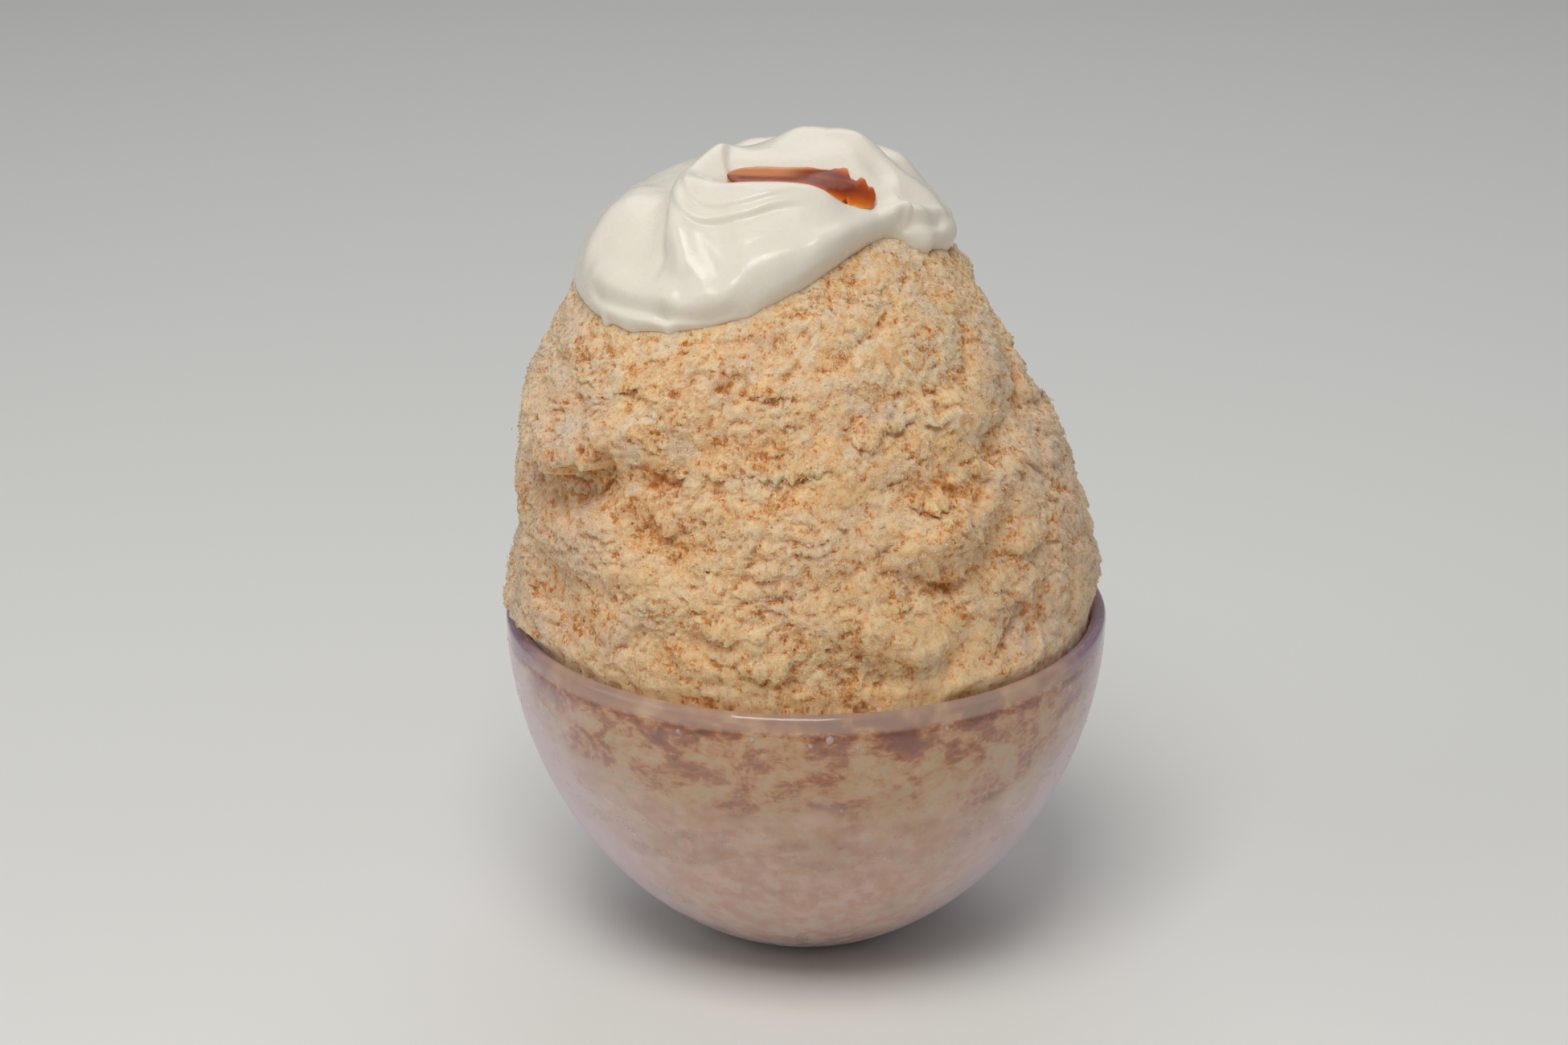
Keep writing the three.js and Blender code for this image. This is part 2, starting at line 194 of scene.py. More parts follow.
def folds_at(folds, points, normals):
    """
    How far folds (rise, sharp, reach, grow, path) move the surface. A fold is a step up on its path's
    right, seen from outside. It falls off over sharp on the low side and over reach on the high side.
    It grows over the given share of its path, and fades out at the far end.
    """
    total = np.zeros(points.shape[:-1])
    for rise, sharp, reach, grow, path in folds:
        gap, way, along = nearest_on(catmull_rom(path, 60), points)
        gap = gap - normals * np.sum(gap * normals, axis=-1)[..., None]
        side = np.sum(np.cross(way, normals) * gap, axis=-1)
        away = np.linalg.norm(gap, axis=-1)
        fade = smoothstep(along, 0, grow) * (1 - smoothstep(along, 0.75, 1))
        # At its foot the low side dips a little below where it was.
        dip = 0.25 * np.exp(-(((away - 2 * sharp) / (1.5 * sharp)) ** 2))
        low = np.exp(-((away / sharp) ** 2)) - dip
        total += rise * fade * np.where(side > 0, np.exp(-((away / reach) ** 2)), low)
    return total


def grid_faces(rings, count):
    """Triangles between closed rings of count points, on a grid of rings by count, facing out."""
    ring, i = np.meshgrid(np.arange(rings - 1), np.arange(count), indexing="ij")
    a = (ring * count + i).ravel()
    b = (ring * count + (i + 1) % count).ravel()
    c, d = a + count, b + count
    odd = ((ring + i) % 2).ravel().astype(bool)
    first = np.where(odd[:, None], np.stack([a, b, d], 1), np.stack([a, b, c], 1))
    second = np.where(odd[:, None], np.stack([a, d, c], 1), np.stack([b, d, c], 1))
    return np.vstack([first, second])


def closed_skin(rings, bottom, top):
    """Vertices and faces of the closed surface through a grid of rings, with a pole at each end."""
    levels, count = rings.shape[:2]
    points = np.vstack([rings.reshape(-1, 3), bottom, top])
    i = np.arange(count)
    j = (i + 1) % count
    last = (levels - 1) * count
    foot = np.stack([np.full(count, levels * count), j, i], 1)
    head = np.stack([np.full(count, levels * count + 1), last + i, last + j], 1)
    return points, np.vstack([grid_faces(levels, count), foot, head])


def with_poles(grid, bottom, top):
    """An attribute for closed_skin's vertices: the grid's values, then those of the two poles."""
    return np.append(grid.ravel(), [bottom, top])


def turned(profile, count):
    """The rings that a profile of (radius, z) makes when it is turned round +Z."""
    rings = outward(all_round(count))[None] * profile[:, None, :1]
    rings[..., 2] = profile[:, 1:]
    return rings


def tree_of(thing):
    """An object's faces as a tree to cast rays at."""
    mesh = thing.data
    return BVHTree.FromPolygons([v.co for v in mesh.vertices], [p.vertices[:] for p in mesh.polygons])


def make_mesh(name, points, faces, material, smooth=True, **attributes):
    """A mesh object from arrays in millimetres. Each attribute is one number for each vertex."""
    mesh = bpy.data.meshes.new(name)
    mesh.vertices.add(len(points))
    mesh.vertices.foreach_set("co", (points * MM).astype(np.float32).ravel())
    mesh.loops.add(faces.size)
    mesh.loops.foreach_set("vertex_index", faces.astype(np.int32).ravel())
    mesh.polygons.add(len(faces))
    mesh.polygons.foreach_set("loop_start", np.arange(len(faces), dtype=np.int32) * faces.shape[1])
    mesh.polygons.foreach_set("use_smooth", np.full(len(faces), smooth))
    for key, values in attributes.items():
        layer = mesh.attributes.new(key, "FLOAT", "POINT")
        layer.data.foreach_set("value", np.asarray(values, np.float32))
    mesh.update(calc_edges=True)
    mesh.validate()
    mesh.materials.append(material)
    made = bpy.data.objects.new(name, mesh)
    bpy.context.scene.collection.objects.link(made)
    return made


# ---- the forms of the CAD part


def wall_points(inset, floor_z, steps):
    """Points (radius, z) up a wall of the bowl, from the level floor to the start of the lip."""
    share = (1 - (BOWL_FOOT / BOWL_RIM) ** BOWL_FULLNESS) ** (1 / BOWL_FULLNESS)
    radius, depth = BOWL_RIM - inset, LIP_Z / share - inset
    lowest = math.asin(((LIP_Z - floor_z) / depth) ** (BOWL_FULLNESS / 2))
    angle = lowest * (1 - np.linspace(0, 1, steps + 1))
    r = radius * np.maximum(np.cos(angle), 0) ** (2 / BOWL_FULLNESS)
    return np.stack([r, LIP_Z - depth * np.sin(angle) ** (2 / BOWL_FULLNESS)], -1)


def mound_form(level, azimuth):
    """The heap's smooth form. level runs from 0 at its widest to 1 at its peak."""
    climb = np.sin(level * np.pi / 2)
    radius = MOUND_RADIUS * np.maximum(0, 1 - np.maximum(climb, 0) ** MOUND_TAPER) ** (1 / MOUND_GIRTH)
    lean = smoothstep(climb, *LEANS_OUT) - BACK_SHARE * smoothstep(climb, *LEANS_BACK)
    around = (turn(azimuth, OVERHANG_AZIMUTH) / OVERHANG_SPREAD) ** 2
    radius = radius + OVERHANG_REACH * np.exp(-around - (climb / OVERHANG_RISE) ** 2)
    points = outward(azimuth) * radius[..., None]
    points[..., 0] += MOUND_LEAN[0] * lean
    points[..., 1] += MOUND_LEAN[1] * lean
    points[..., 2] = MOUND_WIDEST_Z + MOUND_RISE * climb
    return points


def mound_normal(level, azimuth):
    step = 1e-3
    low = np.clip(level, step, 1 - 2 * step)
    up = mound_form(low + step, azimuth) - mound_form(low - step, azimuth)
    around = mound_form(low, azimuth + step * 90) - mound_form(low, azimuth - step * 90)
    normal = unit(np.cross(around, up))
    normal[level > 1 - 2 * step] = (0, 0, 1)
    return normal


def mound_peak():
    return mound_form(np.array([1]), np.array([0]))[0]


def level_of_height(z):
    return np.arcsin(np.clip((z - MOUND_WIDEST_Z) / MOUND_RISE, 0, 1)) / (np.pi / 2)


def on_mound(path):
    """Points of the heap's smooth form at the azimuths and heights given."""
    azimuth, z = np.array(path, float).T
    return mound_form(level_of_height(z), azimuth)


def cream_edge(azimuth):
    """The height of the cream's lower edge, by a smooth curve through CREAM_EDGE."""
    starts = np.array([a for a, _ in CREAM_EDGE], float)
    heights = np.array([z for _, z in CREAM_EDGE], float)
    a = (np.asarray(azimuth, float) + 180) % 360 - 180
    i = np.searchsorted(starts, a, side="right") - 1
    n = len(starts)
    span = (starts[(i + 1) % n] - starts[i]) % 360
    return between(*(heights[(i + k) % n] for k in (-1, 0, 1, 2)), (a - starts[i]) / span)


# ---- materials


class Shader:
    """Short ways to build one Principled material's node tree."""

    def __init__(self, name, **values):
        self.material = bpy.data.materials.new(name)
        self.material.use_nodes = True
        self.tree = self.material.node_tree
        self.principled = self.tree.nodes["Principled BSDF"]
        for key, value in values.items():
            self.principled.inputs[key.replace("_", " ")].default_value = value

    def node(self, kind, output, inputs, **settings):
        """The named output of a new node with these inputs and settings."""
        made = self.tree.nodes.new(kind)
        for key, value in settings.items():
            setattr(made, key, value)
        for key, value in inputs.items():
            self.set(made.inputs[key], value)
        return made.outputs[output]

    def set(self, socket, value):
        if isinstance(value, bpy.types.NodeSocket):
            self.tree.links.new(value, socket)
        else:
            socket.default_value = value

    def scaled(self, scale):
        """Object coordinates in which one unit is the given size in millimetres, one for each axis."""
        place = self.node("ShaderNodeTexCoord", "Object", {})
        inverse = [1 / (s * MM) for s in scale]
        return self.node("ShaderNodeVectorMath", 0, {0: place, 1: inverse}, operation="MULTIPLY")

    def cloud(self, size, detail=3, roughness=0.55, distortion=0):
        scale = size if isinstance(size, tuple) else (size,) * 3
        return self.node("ShaderNodeTexNoise", "Fac", {
            "Vector": self.scaled(scale), "Scale": 1, "Detail": detail, "Roughness": roughness,
            "Distortion": distortion,
        })

    def attribute(self, name):
        return self.node("ShaderNodeAttribute", "Fac", {}, attribute_name=name)

    def ramp(self, value, low, high, to_low=0, to_high=1):
        return self.node("ShaderNodeMapRange", "Result", {
            "Value": value, "From Min": low, "From Max": high, "To Min": to_low, "To Max": to_high,
        }, interpolation_type="SMOOTHSTEP")

    def math(self, operation, a, b=0):
        return self.node("ShaderNodeMath", 0, {0: a, 1: b}, operation=operation)

    def add(self, a, b):
        return self.math("ADD", a, b)

    def times(self, a, b):
        return self.math("MULTIPLY", a, b)

    def mix(self, share, a, b):
        return self.node("ShaderNodeMix", 2, {0: share, 6: a, 7: b}, data_type="RGBA")

    def shades(self, value, stops):
        """A colour that passes through the stops (value, colour) in turn."""
        out = self.node("ShaderNodeValToRGB", "Color", {"Fac": value})
        elements = out.node.color_ramp.elements
        for _ in stops[2:]:
            elements.new(0.5)
        for element, (position, colour) in zip(elements, stops):
            element.position = position
            element.color = colour
        return out

    def bump(self, height, strength, distance_mm, normal=None):
        inputs = {"Height": height, "Strength": strength, "Distance": distance_mm * MM}
        if normal is not None:
            inputs["Normal"] = normal
        return self.node("ShaderNodeBump", "Normal", inputs)

    def link(self, **sockets):
        for key, value in sockets.items():
            self.set(self.principled.inputs[key.replace("_", " ")], value)
        return self.material


def rgb(red, green, blue):
    """A linear colour from an sRGB one on a scale of 255."""
    s = np.array([red, green, blue]) / 255
    linear = np.where(s <= 0.04045, s / 12.92, ((s + 0.055) / 1.055) ** 2.4)
    return (*linear.tolist(), 1)


ICE_CREST = rgb(243, 204, 150)
ICE_PALE = rgb(238, 187, 125)
ICE_SOAKED = rgb(214, 150, 84)
# The colour of painted shade in the ice's hollows.
ICE_PAINTED_SHADE = rgb(200, 138, 80)
ICE_SYRUP = rgb(214, 138, 64)
ICE_DEEP = rgb(186, 100, 38)
ICE_MILK = rgb(233, 212, 180)
ICE_FROST = rgb(208, 188, 176)
ICE_THREAD_HIGHLIGHT = rgb(248, 226, 188)
ICE_GRAIN_GLINT = rgb(246, 228, 202)


def ice_material(name="syruped_ice", subsurface=0.85):
    """Syruped ice: pale, with milk-white wisps, and syrup gathered in clusters of small ragged openings.
    Painted shade darkens its hollows, and painted highlights lie on its pale threads and grains.
    """
    s = Shader(
        name, Roughness=0.5, IOR=1.31, Specular_IOR_Level=0.35,
        Subsurface_Weight=subsurface, Subsurface_Scale=0.0035, Subsurface_Radius=(1, 0.65, 0.35),
    )
    hollow, frost = s.attribute("hollow"), s.attribute("frost")
    sponge = s.cloud((1.7, 1.7, 1.2), detail=4, roughness=0.62, distortion=0.3)
    cluster = s.ramp(s.cloud((7.5, 7.5, 5)), 0.45, 0.64)
    fibres = s.cloud((0.7, 0.7, 2.6), detail=4, roughness=0.6, distortion=1.2)
    height = s.add(s.times(sponge, 0.85), s.times(fibres, 0.55))
    # Hollows sink the height towards the syrup colours: partly syrup, partly painted shade.
    height = s.add(s.add(s.add(height, s.times(hollow, -0.19)), s.times(cluster, -0.085)), -0.105)
    colour = s.shades(height, [
        (0.3, ICE_DEEP), (0.34, ICE_SYRUP), (0.385, ICE_SOAKED), (0.44, ICE_PALE), (0.6, ICE_CREST),
    ])
    # Hollows and syrup clusters are mixed towards a painted shade colour.
    colour = s.mix(s.ramp(s.add(hollow, s.times(cluster, 0.25)), 0.2, 1, 0, 0.55), colour, ICE_PAINTED_SHADE)
    strands = s.cloud((1.6, 1.6, 4.5), detail=5, roughness=0.62, distortion=1.6)
    drift = s.add(s.times(s.cloud((6, 6, 5)), 0.6), s.times(strands, 0.4))
    wisps = s.ramp(s.add(drift, s.times(hollow, -0.1)), 0.44, 0.56, 0, 0.7)
    # The syrup has run down, so the ice is milkier towards the top.
    up = s.node("ShaderNodeSeparateXYZ", "Z", {0: s.scaled((1, 1, 1))})
    wisps = s.times(wisps, s.ramp(up, 95, 125, 0.5, 1.15))
    # Grains of pale ice crystal, with painted glints on them.
    grains = s.cloud(0.42, detail=2)
    # Fine threads of pale ice, partly a painted highlight, curl along the places where a cloud passes its
    # middle value.
    curl = s.cloud((2.6, 2.6, 3.8), roughness=0.5, distortion=1.4)
    threads = s.ramp(s.math("ABSOLUTE", s.add(curl, -0.5)), 0, 0.03, 0.6, 0)
    # All of these lie on what stands out, and leave the openings dark.
    skin = s.ramp(height, 0.36, 0.46, 0.1, 1)
    for share, within, tint in [
        (wisps, skin, ICE_MILK), (threads, s.ramp(height, 0.33, 0.42, 0.2, 1), ICE_THREAD_HIGHLIGHT),
        (frost, skin, ICE_FROST), (s.ramp(grains, 0.5, 0.68, 0, 0.45), skin, ICE_GRAIN_GLINT),
    ]:
        colour = s.mix(s.times(share, within), colour, tint)
    relief = s.bump(grains, 0.6, 0.2, s.bump(threads, 0.5, 0.3, s.bump(height, 0.4, 0.9)))
    return s.link(Base_Color=colour, Normal=relief)


def packed_ice_material():
    """Ice pressed against the glass: pale clumps, with darker syrup in the gaps between them."""
    s = Shader("packed_ice", Roughness=0.6, Subsurface_Weight=0.3, Subsurface_Scale=0.002)
    clumps = s.cloud((10, 10, 6.5), detail=7, roughness=0.6, distortion=0.8)
    pores = s.cloud((2.6, 2.6, 1.6), detail=5, roughness=0.65, distortion=0.6)
    level = s.add(s.times(clumps, 0.62), s.times(pores, 0.42))
    level = s.add(level, s.times(s.attribute("hollow"), -0.09))
    colour = s.shades(level, [
        (0.34, rgb(158, 76, 24)), (0.42, rgb(212, 132, 62)),
        (0.47, rgb(246, 198, 134)), (0.55, rgb(255, 236, 194)),
    ])
    return s.link(Base_Color=colour, Normal=s.bump(level, 0.4, 1))


def cream_material():
    s = Shader(
        "whipped_cream", IOR=1.42, Specular_IOR_Level=0.5,
        Subsurface_Weight=0.3, Subsurface_Scale=0.0012, Subsurface_Radius=(1, 0.75, 0.5),
    )
    colour = s.mix(s.cloud(14, detail=2), rgb(229, 222, 207), rgb(233, 227, 213))
    dimples = s.ramp(s.cloud((1.1, 1.1, 1.1), detail=1), 0.3, 0.6)
    relief = s.bump(dimples, 0.1, 0.12, s.bump(s.cloud((3.4, 3.4, 2.4), detail=2), 0.12, 0.3))
    gloss = s.ramp(s.cloud(7), 0.35, 0.65, 0.18, 0.34)
    return s.link(Base_Color=colour, Normal=relief, Roughness=gloss)


def caramel_material():
    """Thin caramel is amber and deep caramel is dark. Towards its left end it is painted paler, as a
    reflection on its top.
    """
    s = Shader(
        "caramel_sauce", Roughness=0.12, IOR=1.45, Specular_IOR_Level=0.22,
        Subsurface_Weight=0.25, Subsurface_Scale=0.0015, Subsurface_Radius=(1, 0.3, 0.08),
    )
    colour = s.shades(s.attribute("depth"), [
        (0, rgb(232, 160, 78)), (0.2, rgb(214, 114, 34)), (0.55, rgb(178, 74, 18)), (1, rgb(124, 46, 14)),
    ])
    # The left end is painted paler, as a reflection.
    colour = s.mix(s.attribute("milky"), colour, rgb(216, 142, 88))
    streaks = s.ramp(s.cloud((5, 1.6, 1.6), distortion=0.8), 0.45, 0.7, 0, 0.3)
    colour = s.mix(streaks, colour, rgb(190, 92, 30))
    return s.link(Base_Color=colour, Normal=s.bump(s.cloud(3), 0.15, 0.3))


def glass_material():
    """Thick glass, clear at the lip, and misted and frosted by cold below it. Towards the sides its mist is
    painted lilac as a sheen, and its lip painted dark violet as a reflection.
    """
    s = Shader(
        "frosted_glass", IOR=1.47, Sheen_Weight=0.3, Sheen_Roughness=0.45, Sheen_Tint=rgb(244, 236, 250),
    )
    frost, lip, side, foot = (s.attribute(name) for name in ("frost", "lip", "side", "foot"))
    blotch = s.cloud((14, 14, 9), detail=5, roughness=0.6)
    fine = s.cloud((0.8, 0.8, 1.6))
    grains = s.cloud((3.4, 3.4, 3.6), detail=6, roughness=0.62)
    haze = s.times(frost, s.ramp(blotch, 0.32, 0.64, 0.72, 1.05))
    warm = s.mix(s.ramp(grains, 0.38, 0.62), rgb(233, 188, 162), rgb(246, 217, 202))
    # Towards the sides the mist is painted lilac, as a sheen.
    mist = s.mix(s.ramp(side, 0.4, 0.9, 0, 0.9), warm, rgb(245, 229, 244))
    # Towards the foot the mist is darker and browner.
    mist = s.mix(s.times(foot, s.ramp(grains, 0.4, 0.56, 1, 0.35)), mist, rgb(138, 88, 60))
    # Towards the sides the lip is painted dark violet, as a reflection.
    clear = s.mix(s.ramp(side, 0.75, 0.98), rgb(242, 222, 204), rgb(186, 168, 206))
    colour = s.mix(lip, s.mix(haze, rgb(252, 240, 228), mist), clear)
    see_through = s.ramp(haze, 0, 1, 1, 0.4)
    see_through = s.math("MINIMUM", see_through, s.ramp(lip, 0, 1, 1, 0.7))
    rough = s.times(s.ramp(haze, 0.15, 0.9, 0.085, 0.32), s.ramp(lip, 0, 1, 1, 0.3))
    return s.link(
        Base_Color=colour, Transmission_Weight=see_through, Roughness=rough,
        Normal=s.bump(fine, s.times(haze, 0.3), 0.2),
    )


def water_material():
    s = Shader("water", Roughness=0.02, IOR=1.33, Transmission_Weight=0.55)
    return s.link(Base_Color=rgb(232, 216, 206))


def floor_material():
    s = Shader("pale_floor", Roughness=0.7, Specular_IOR_Level=0.2)
    return s.link(Base_Color=s.mix(s.cloud(300), rgb(228, 228, 224), rgb(231, 231, 227)))


# ---- glass bowl

LEAST_FROST = 0.32
FROST_DOWN_THE_WALL = 0.62
PAINTED_SHEEN_AT_THE_SIDES = 0.35


def bowl_object():
    steps, lip_steps, count = 56, 12, 200
    angle = np.pi * np.arange(1, lip_steps) / lip_steps
    half = BOWL_WALL / 2
    rounded = np.stack([BOWL_RIM - half + half * np.cos(angle), LIP_Z + half * np.sin(angle)], -1)
    outside = wall_points(0, 0, steps)
    inside = wall_points(BOWL_WALL, BOWL_FLOOR, steps)[::-1]
    rings = turned(np.vstack([outside, rounded, inside]), count)
    azimuth, height = all_round(count), rings[..., 2]
    is_outside = (np.arange(len(rings)) < len(outside))[:, None]
    # The frost is thin under the lip, and grows down the wall. Round the sides it grows more, as a painted
    # sheen. The foot is darker and browner.
    drift = height + 4 * noise(rings, (16, 16, 10), 4)
    frost = LEAST_FROST + FROST_DOWN_THE_WALL * (1 - smoothstep(drift, 26, 60))
    # Round the sides the frost is raised as a painted sheen.
    frost += PAINTED_SHEEN_AT_THE_SIDES * smoothstep(np.abs(turn(azimuth, 4)), 38, 78)[None]
    frost *= 1 - smoothstep(height, LIP_Z - 3.6, LIP_Z - 1.6)
    lip = smoothstep(height, LIP_Z - 3, LIP_Z - 1.4)
    # How far round to the right or left each place lies, for the painted sheen and reflection there.
    side = np.abs(np.sin(np.radians(azimuth)))[None] * np.ones_like(height)
    foot = is_outside * (1 - smoothstep(drift, 5, 15))
    points, faces = closed_skin(rings, (0, 0, 0), (0, 0, BOWL_FLOOR))
    return make_mesh(
        "frosted_bowl", points, faces, glass_material(),
        frost=with_poles(is_outside * np.clip(frost, 0, 1), 0.5, 0), lip=with_poles(lip, 0, 0),
        side=with_poles(side, 0, 0), foot=with_poles(foot, 1, 0),
    )


# ---- shaved ice

ICE_COLUMNS, ICE_ROWS = 600, 154
COARSE_COLUMNS, COARSE_ROWS, COARSE_TOP = 150, 60, 0.8
# The heap's (radius, z) rings inside the bowl's lip. It comes out above the lip at the last of them.
ICE_SKIRT = [(50, 58), (56.2, 61), (56.7, 66), (56.6, 69)]
# The relief goes on this far under the cream. From there the heap is smooth, and sunk by a little.
UNDER_CREAM = 3
HIDDEN_ROWS, HIDDEN_SUNK = 5, (0, 0, 1)
# The hollowness and the frost of what is hidden.
HIDDEN_TONE = 0.3
SEED, SHELF_SEED = 7, 3
MORE_SHELVES, FLAKES, SHREDS = 16, 44000, 8000

# Broken edges of packed ice: (rise, depth, upper, lower, path). Each stands out by rise above its path of
# (azimuth, height), over upper, and drops to a recess of that depth under it, over lower.
ICE_SHELVES = [
    # Left: the big shelf over its recess, the flake that hangs there, and the block's upper right.
    (2.8, 7.6, 5, 7, [
        (-71, 113), (-65, 111), (-60, 109.4), (-57, 108.5), (-52, 109.7), (-46, 111), (-41, 114),
    ]),
    (1.5, 1.6, 2.5, 3, [(-54, 108), (-49, 106), (-47, 105.2), (-44, 108.6)]),
    (1.2, 1.9, 4, 5.5, [(-48, 125), (-38, 126.2), (-29, 126), (-24, 124.5)]),
    # Centre: a row of openings, and small edges under it.
    (0.7, 1.5, 3.5, 2.6, [(-31, 111), (-22, 113.6), (-13, 112.6), (-4, 113.8), (4, 112.8), (9, 114)]),
    (0.8, 1.5, 2.2, 2.8, [(-37, 101), (-30, 103), (-26, 101.6)]),
    (0.8, 1.8, 2.5, 3, [(-24, 83.6), (-19, 85.4), (-14, 84.2)]),
    (1.3, 1.6, 4, 3, [(-12, 76.3), (-4, 78.2), (1, 80.6), (6, 83.8), (8, 85)]),
    (0.8, 1.4, 3, 3, [(-12, 128), (-4, 126.5), (4, 128)]),
    # Right: two scalloped edges, and the underside of the frosty knob.
    (1.5, 2.6, 4.5, 4.2, [
        (68, 107), (58, 107.4), (52, 106.4), (47, 108), (42, 108.8), (37, 107), (33, 105.6), (28, 106.4),
    ]),
    (1.2, 1.9, 3.5, 4, [(59, 94.3), (53, 94.8), (50, 93.4), (46, 92.8), (44, 94.6), (40, 97)]),
    (1.2, 2.4, 3, 5, [(23, 95.3), (28, 92.8), (33, 92), (38, 93)]),
    (0.9, 1.4, 3, 3.5, [(14, 121), (22, 119), (30, 121), (38, 119)]),
]

# Soft ridges and furrows: (rise, width, path), each path of (azimuth, height).
ICE_MARKS = [
    (-1.8, 1.8, [(-75, 113), (-67, 112.4), (-60, 109.6), (-58, 107)]),
    (-1.6, 2.2, [(-66, 124.6), (-59, 123), (-53, 120)]),
    (1.5, 3, [(-54, 97), (-46, 99.7), (-40, 103), (-31, 106.6)]),
    (2, 5, [(28, 99.5), (30, 100)]),
    (-1.9, 1.5, [(49, 82.6), (46, 79.3), (42.5, 77)]),
    (1.2, 1.5, [(46.5, 85.7), (50.5, 82.8), (52.5, 76.7), (50, 72.5)]),
    (-1.5, 2.6, [(21, 86), (23, 83)]),
    (1.6, 4.5, [(12, 84), (18.5, 81.5), (20, 79)]),
    (-2, 3, [(13, 75), (19, 75.2), (27, 77)]),
    (1.4, 2, [(30, 71.6), (39, 71.4), (47, 71)]),
    (-1.5, 2, [(-3, 75.2)]),
    (-1.7, 2.4, [(-21, 81.6), (-17, 82.2)]),
    (-1.5, 2, [(-20.4, 94)]),
    (-1.5, 1.8, [(4.4, 112.4)]),
    (1, 1.6, [(-26, 80.6), (-21, 77.3), (-14, 76.5), (-11, 77.5)]),
    (1, 1.3, [(-20.5, 96), (-17.8, 93.6), (-16.4, 91)]),
    (0.8, 2, [(75, 106), (64, 95), (61, 81)]),
]


def broken_edges(rng, count):
    """More shelves of the same kind, for the sides and the back."""
    made = []
    for _ in range(count):
        middle, z, half, slope = (rng.uniform(*span) for span in [(82, 282), (78, 128), (9, 20), (-6, 6)])
        path = [(middle + half * k, z + slope * k + rng.uniform(-1.2, 1.2)) for k in np.linspace(-1, 1, 6)]
        sizes = (rng.uniform(*span) for span in [(0.9, 1.7), (1.3, 2.8), (3, 5), (2.8, 5)])
        made.append((*sizes, path))
    return made


SHELF_RISE, SHELF_DEPTH = 0.8, 0.7
SMALL_SHELF, DEEP_SHELF = 2.1, 2.6


def shelves_at(shelves, azimuth, height, ragged, whole):
    """
    The shelves' relief, how deep under one each point lies, and how close over an edge, from 0 to 1.
    whole is how much of the smaller ones is left at each point, as they have crumbled here and there.
    """
    relief, under, fringe = (np.zeros(azimuth.shape) for _ in range(3))
    for rise, depth, upper, lower, path in shelves:
        rise, depth = SHELF_RISE * rise, SHELF_DEPTH * depth
        left = whole if depth < SMALL_SHELF else 1
        ways = np.array(sorted(path), float)
        middle = ways[:, 0].mean()
        around = middle + turn(azimuth, middle)
        above = height + ragged - np.interp(around, ways[:, 0], ways[:, 1])
        ends = smoothstep(around, ways[0, 0] - 5, ways[0, 0] + 2)
        ends = ends * (1 - smoothstep(around, ways[-1, 0] - 2, ways[-1, 0] + 5)) * left
        over = smoothstep(above, -1, 0.5)
        out = rise * np.exp(-((np.maximum(above, 0) / upper) ** 2))
        inward = np.exp(-((np.minimum(above, 0) / lower) ** 2))
        relief += ends * (over * out - (1 - over) * depth * inward)
        under += ends * (1 - over) * inward * min(1, depth / DEEP_SHELF)
        fringe += ends * over * (1 - smoothstep(above, 0.4, 1.6))
    return relief, np.clip(under, 0, 1), np.clip(fringe, 0, 1)


def cad_relief(node, levels, azimuths):
    """How far the CAD ice stands out from the heap's smooth form, on a grid of levels by azimuths."""
    tree = tree_of(node)
    away = 20
    level, azimuth = np.meshgrid(levels, azimuths, indexing="ij")
    form, normal = mound_form(level, azimuth), mound_normal(level, azimuth)
    relief = np.zeros(level.shape)
    for at in np.ndindex(*level.shape):
        start = Vector((form[at] + away * normal[at]) * MM)
        hit = tree.ray_cast(start, Vector(-normal[at]), 2 * away * MM)[3]
        relief[at] = away - hit / MM if hit is not None else 0
    return relief


def blurred(grid, times):
    """A grid smoothed a little, wrapped round its columns."""
    for _ in range(times):
        grid = (np.roll(grid, 1, 1) + 2 * grid + np.roll(grid, -1, 1)) / 4
        padded = np.vstack([grid[:1], grid, grid[-1:]])
        grid = (padded[:-2] + 2 * padded[1:-1] + padded[2:]) / 4
    return grid


def read_grid(grid, rows, columns):
    """Values of a grid at fractional rows and columns. Columns wrap round."""
    r = np.clip(rows, 0, grid.shape[0] - 1.001)
    i, j = r.astype(int), np.floor(columns).astype(int)
    u, v = r - i, columns - j
    u, v = u * u * (3 - 2 * u), v * v * (3 - 2 * v)
    n = grid.shape[1]
    a, b = grid[i, j % n], grid[i, (j + 1) % n]
    c, d = grid[i + 1, j % n], grid[i + 1, (j + 1) % n]
    return (a * (1 - v) + b * v) * (1 - u) + (c * (1 - v) + d * v) * u


def feathers(points, pitch, ragged, seed):
    """
    Feathery scales of shaved ice that hang over each other: their height about 0, how deep under one each
    point lies, and how close to its fringe.
    """
    bend = 2.6 * pitch * noise(points, (2.6 * pitch, 2.6 * pitch, 2.2 * pitch), seed)
    bend += 1.1 * pitch * noise(points, (1.3 * pitch, 1.3 * pitch, 1.1 * pitch), seed + 4)
    bend += ragged * (noise(points, 0.42 * pitch, seed + 1) + 0.6 * noise(points, 0.2 * pitch, seed + 2))
    fall = (bend - points[..., 2]) / pitch
    t = fall - np.floor(fall)
    strength = smoothstep(noise(points, (2 * pitch, 2 * pitch, 1.6 * pitch), seed + 3), -0.3, 0.4)
    height = smoothstep(t, 0, 0.75) * (1 - smoothstep(t, 0.88, 1)) - 0.5
    under = 1 - smoothstep(t, 0.05, 0.4)
    return height * strength, under * strength, smoothstep(t, 0.66, 0.88) * strength


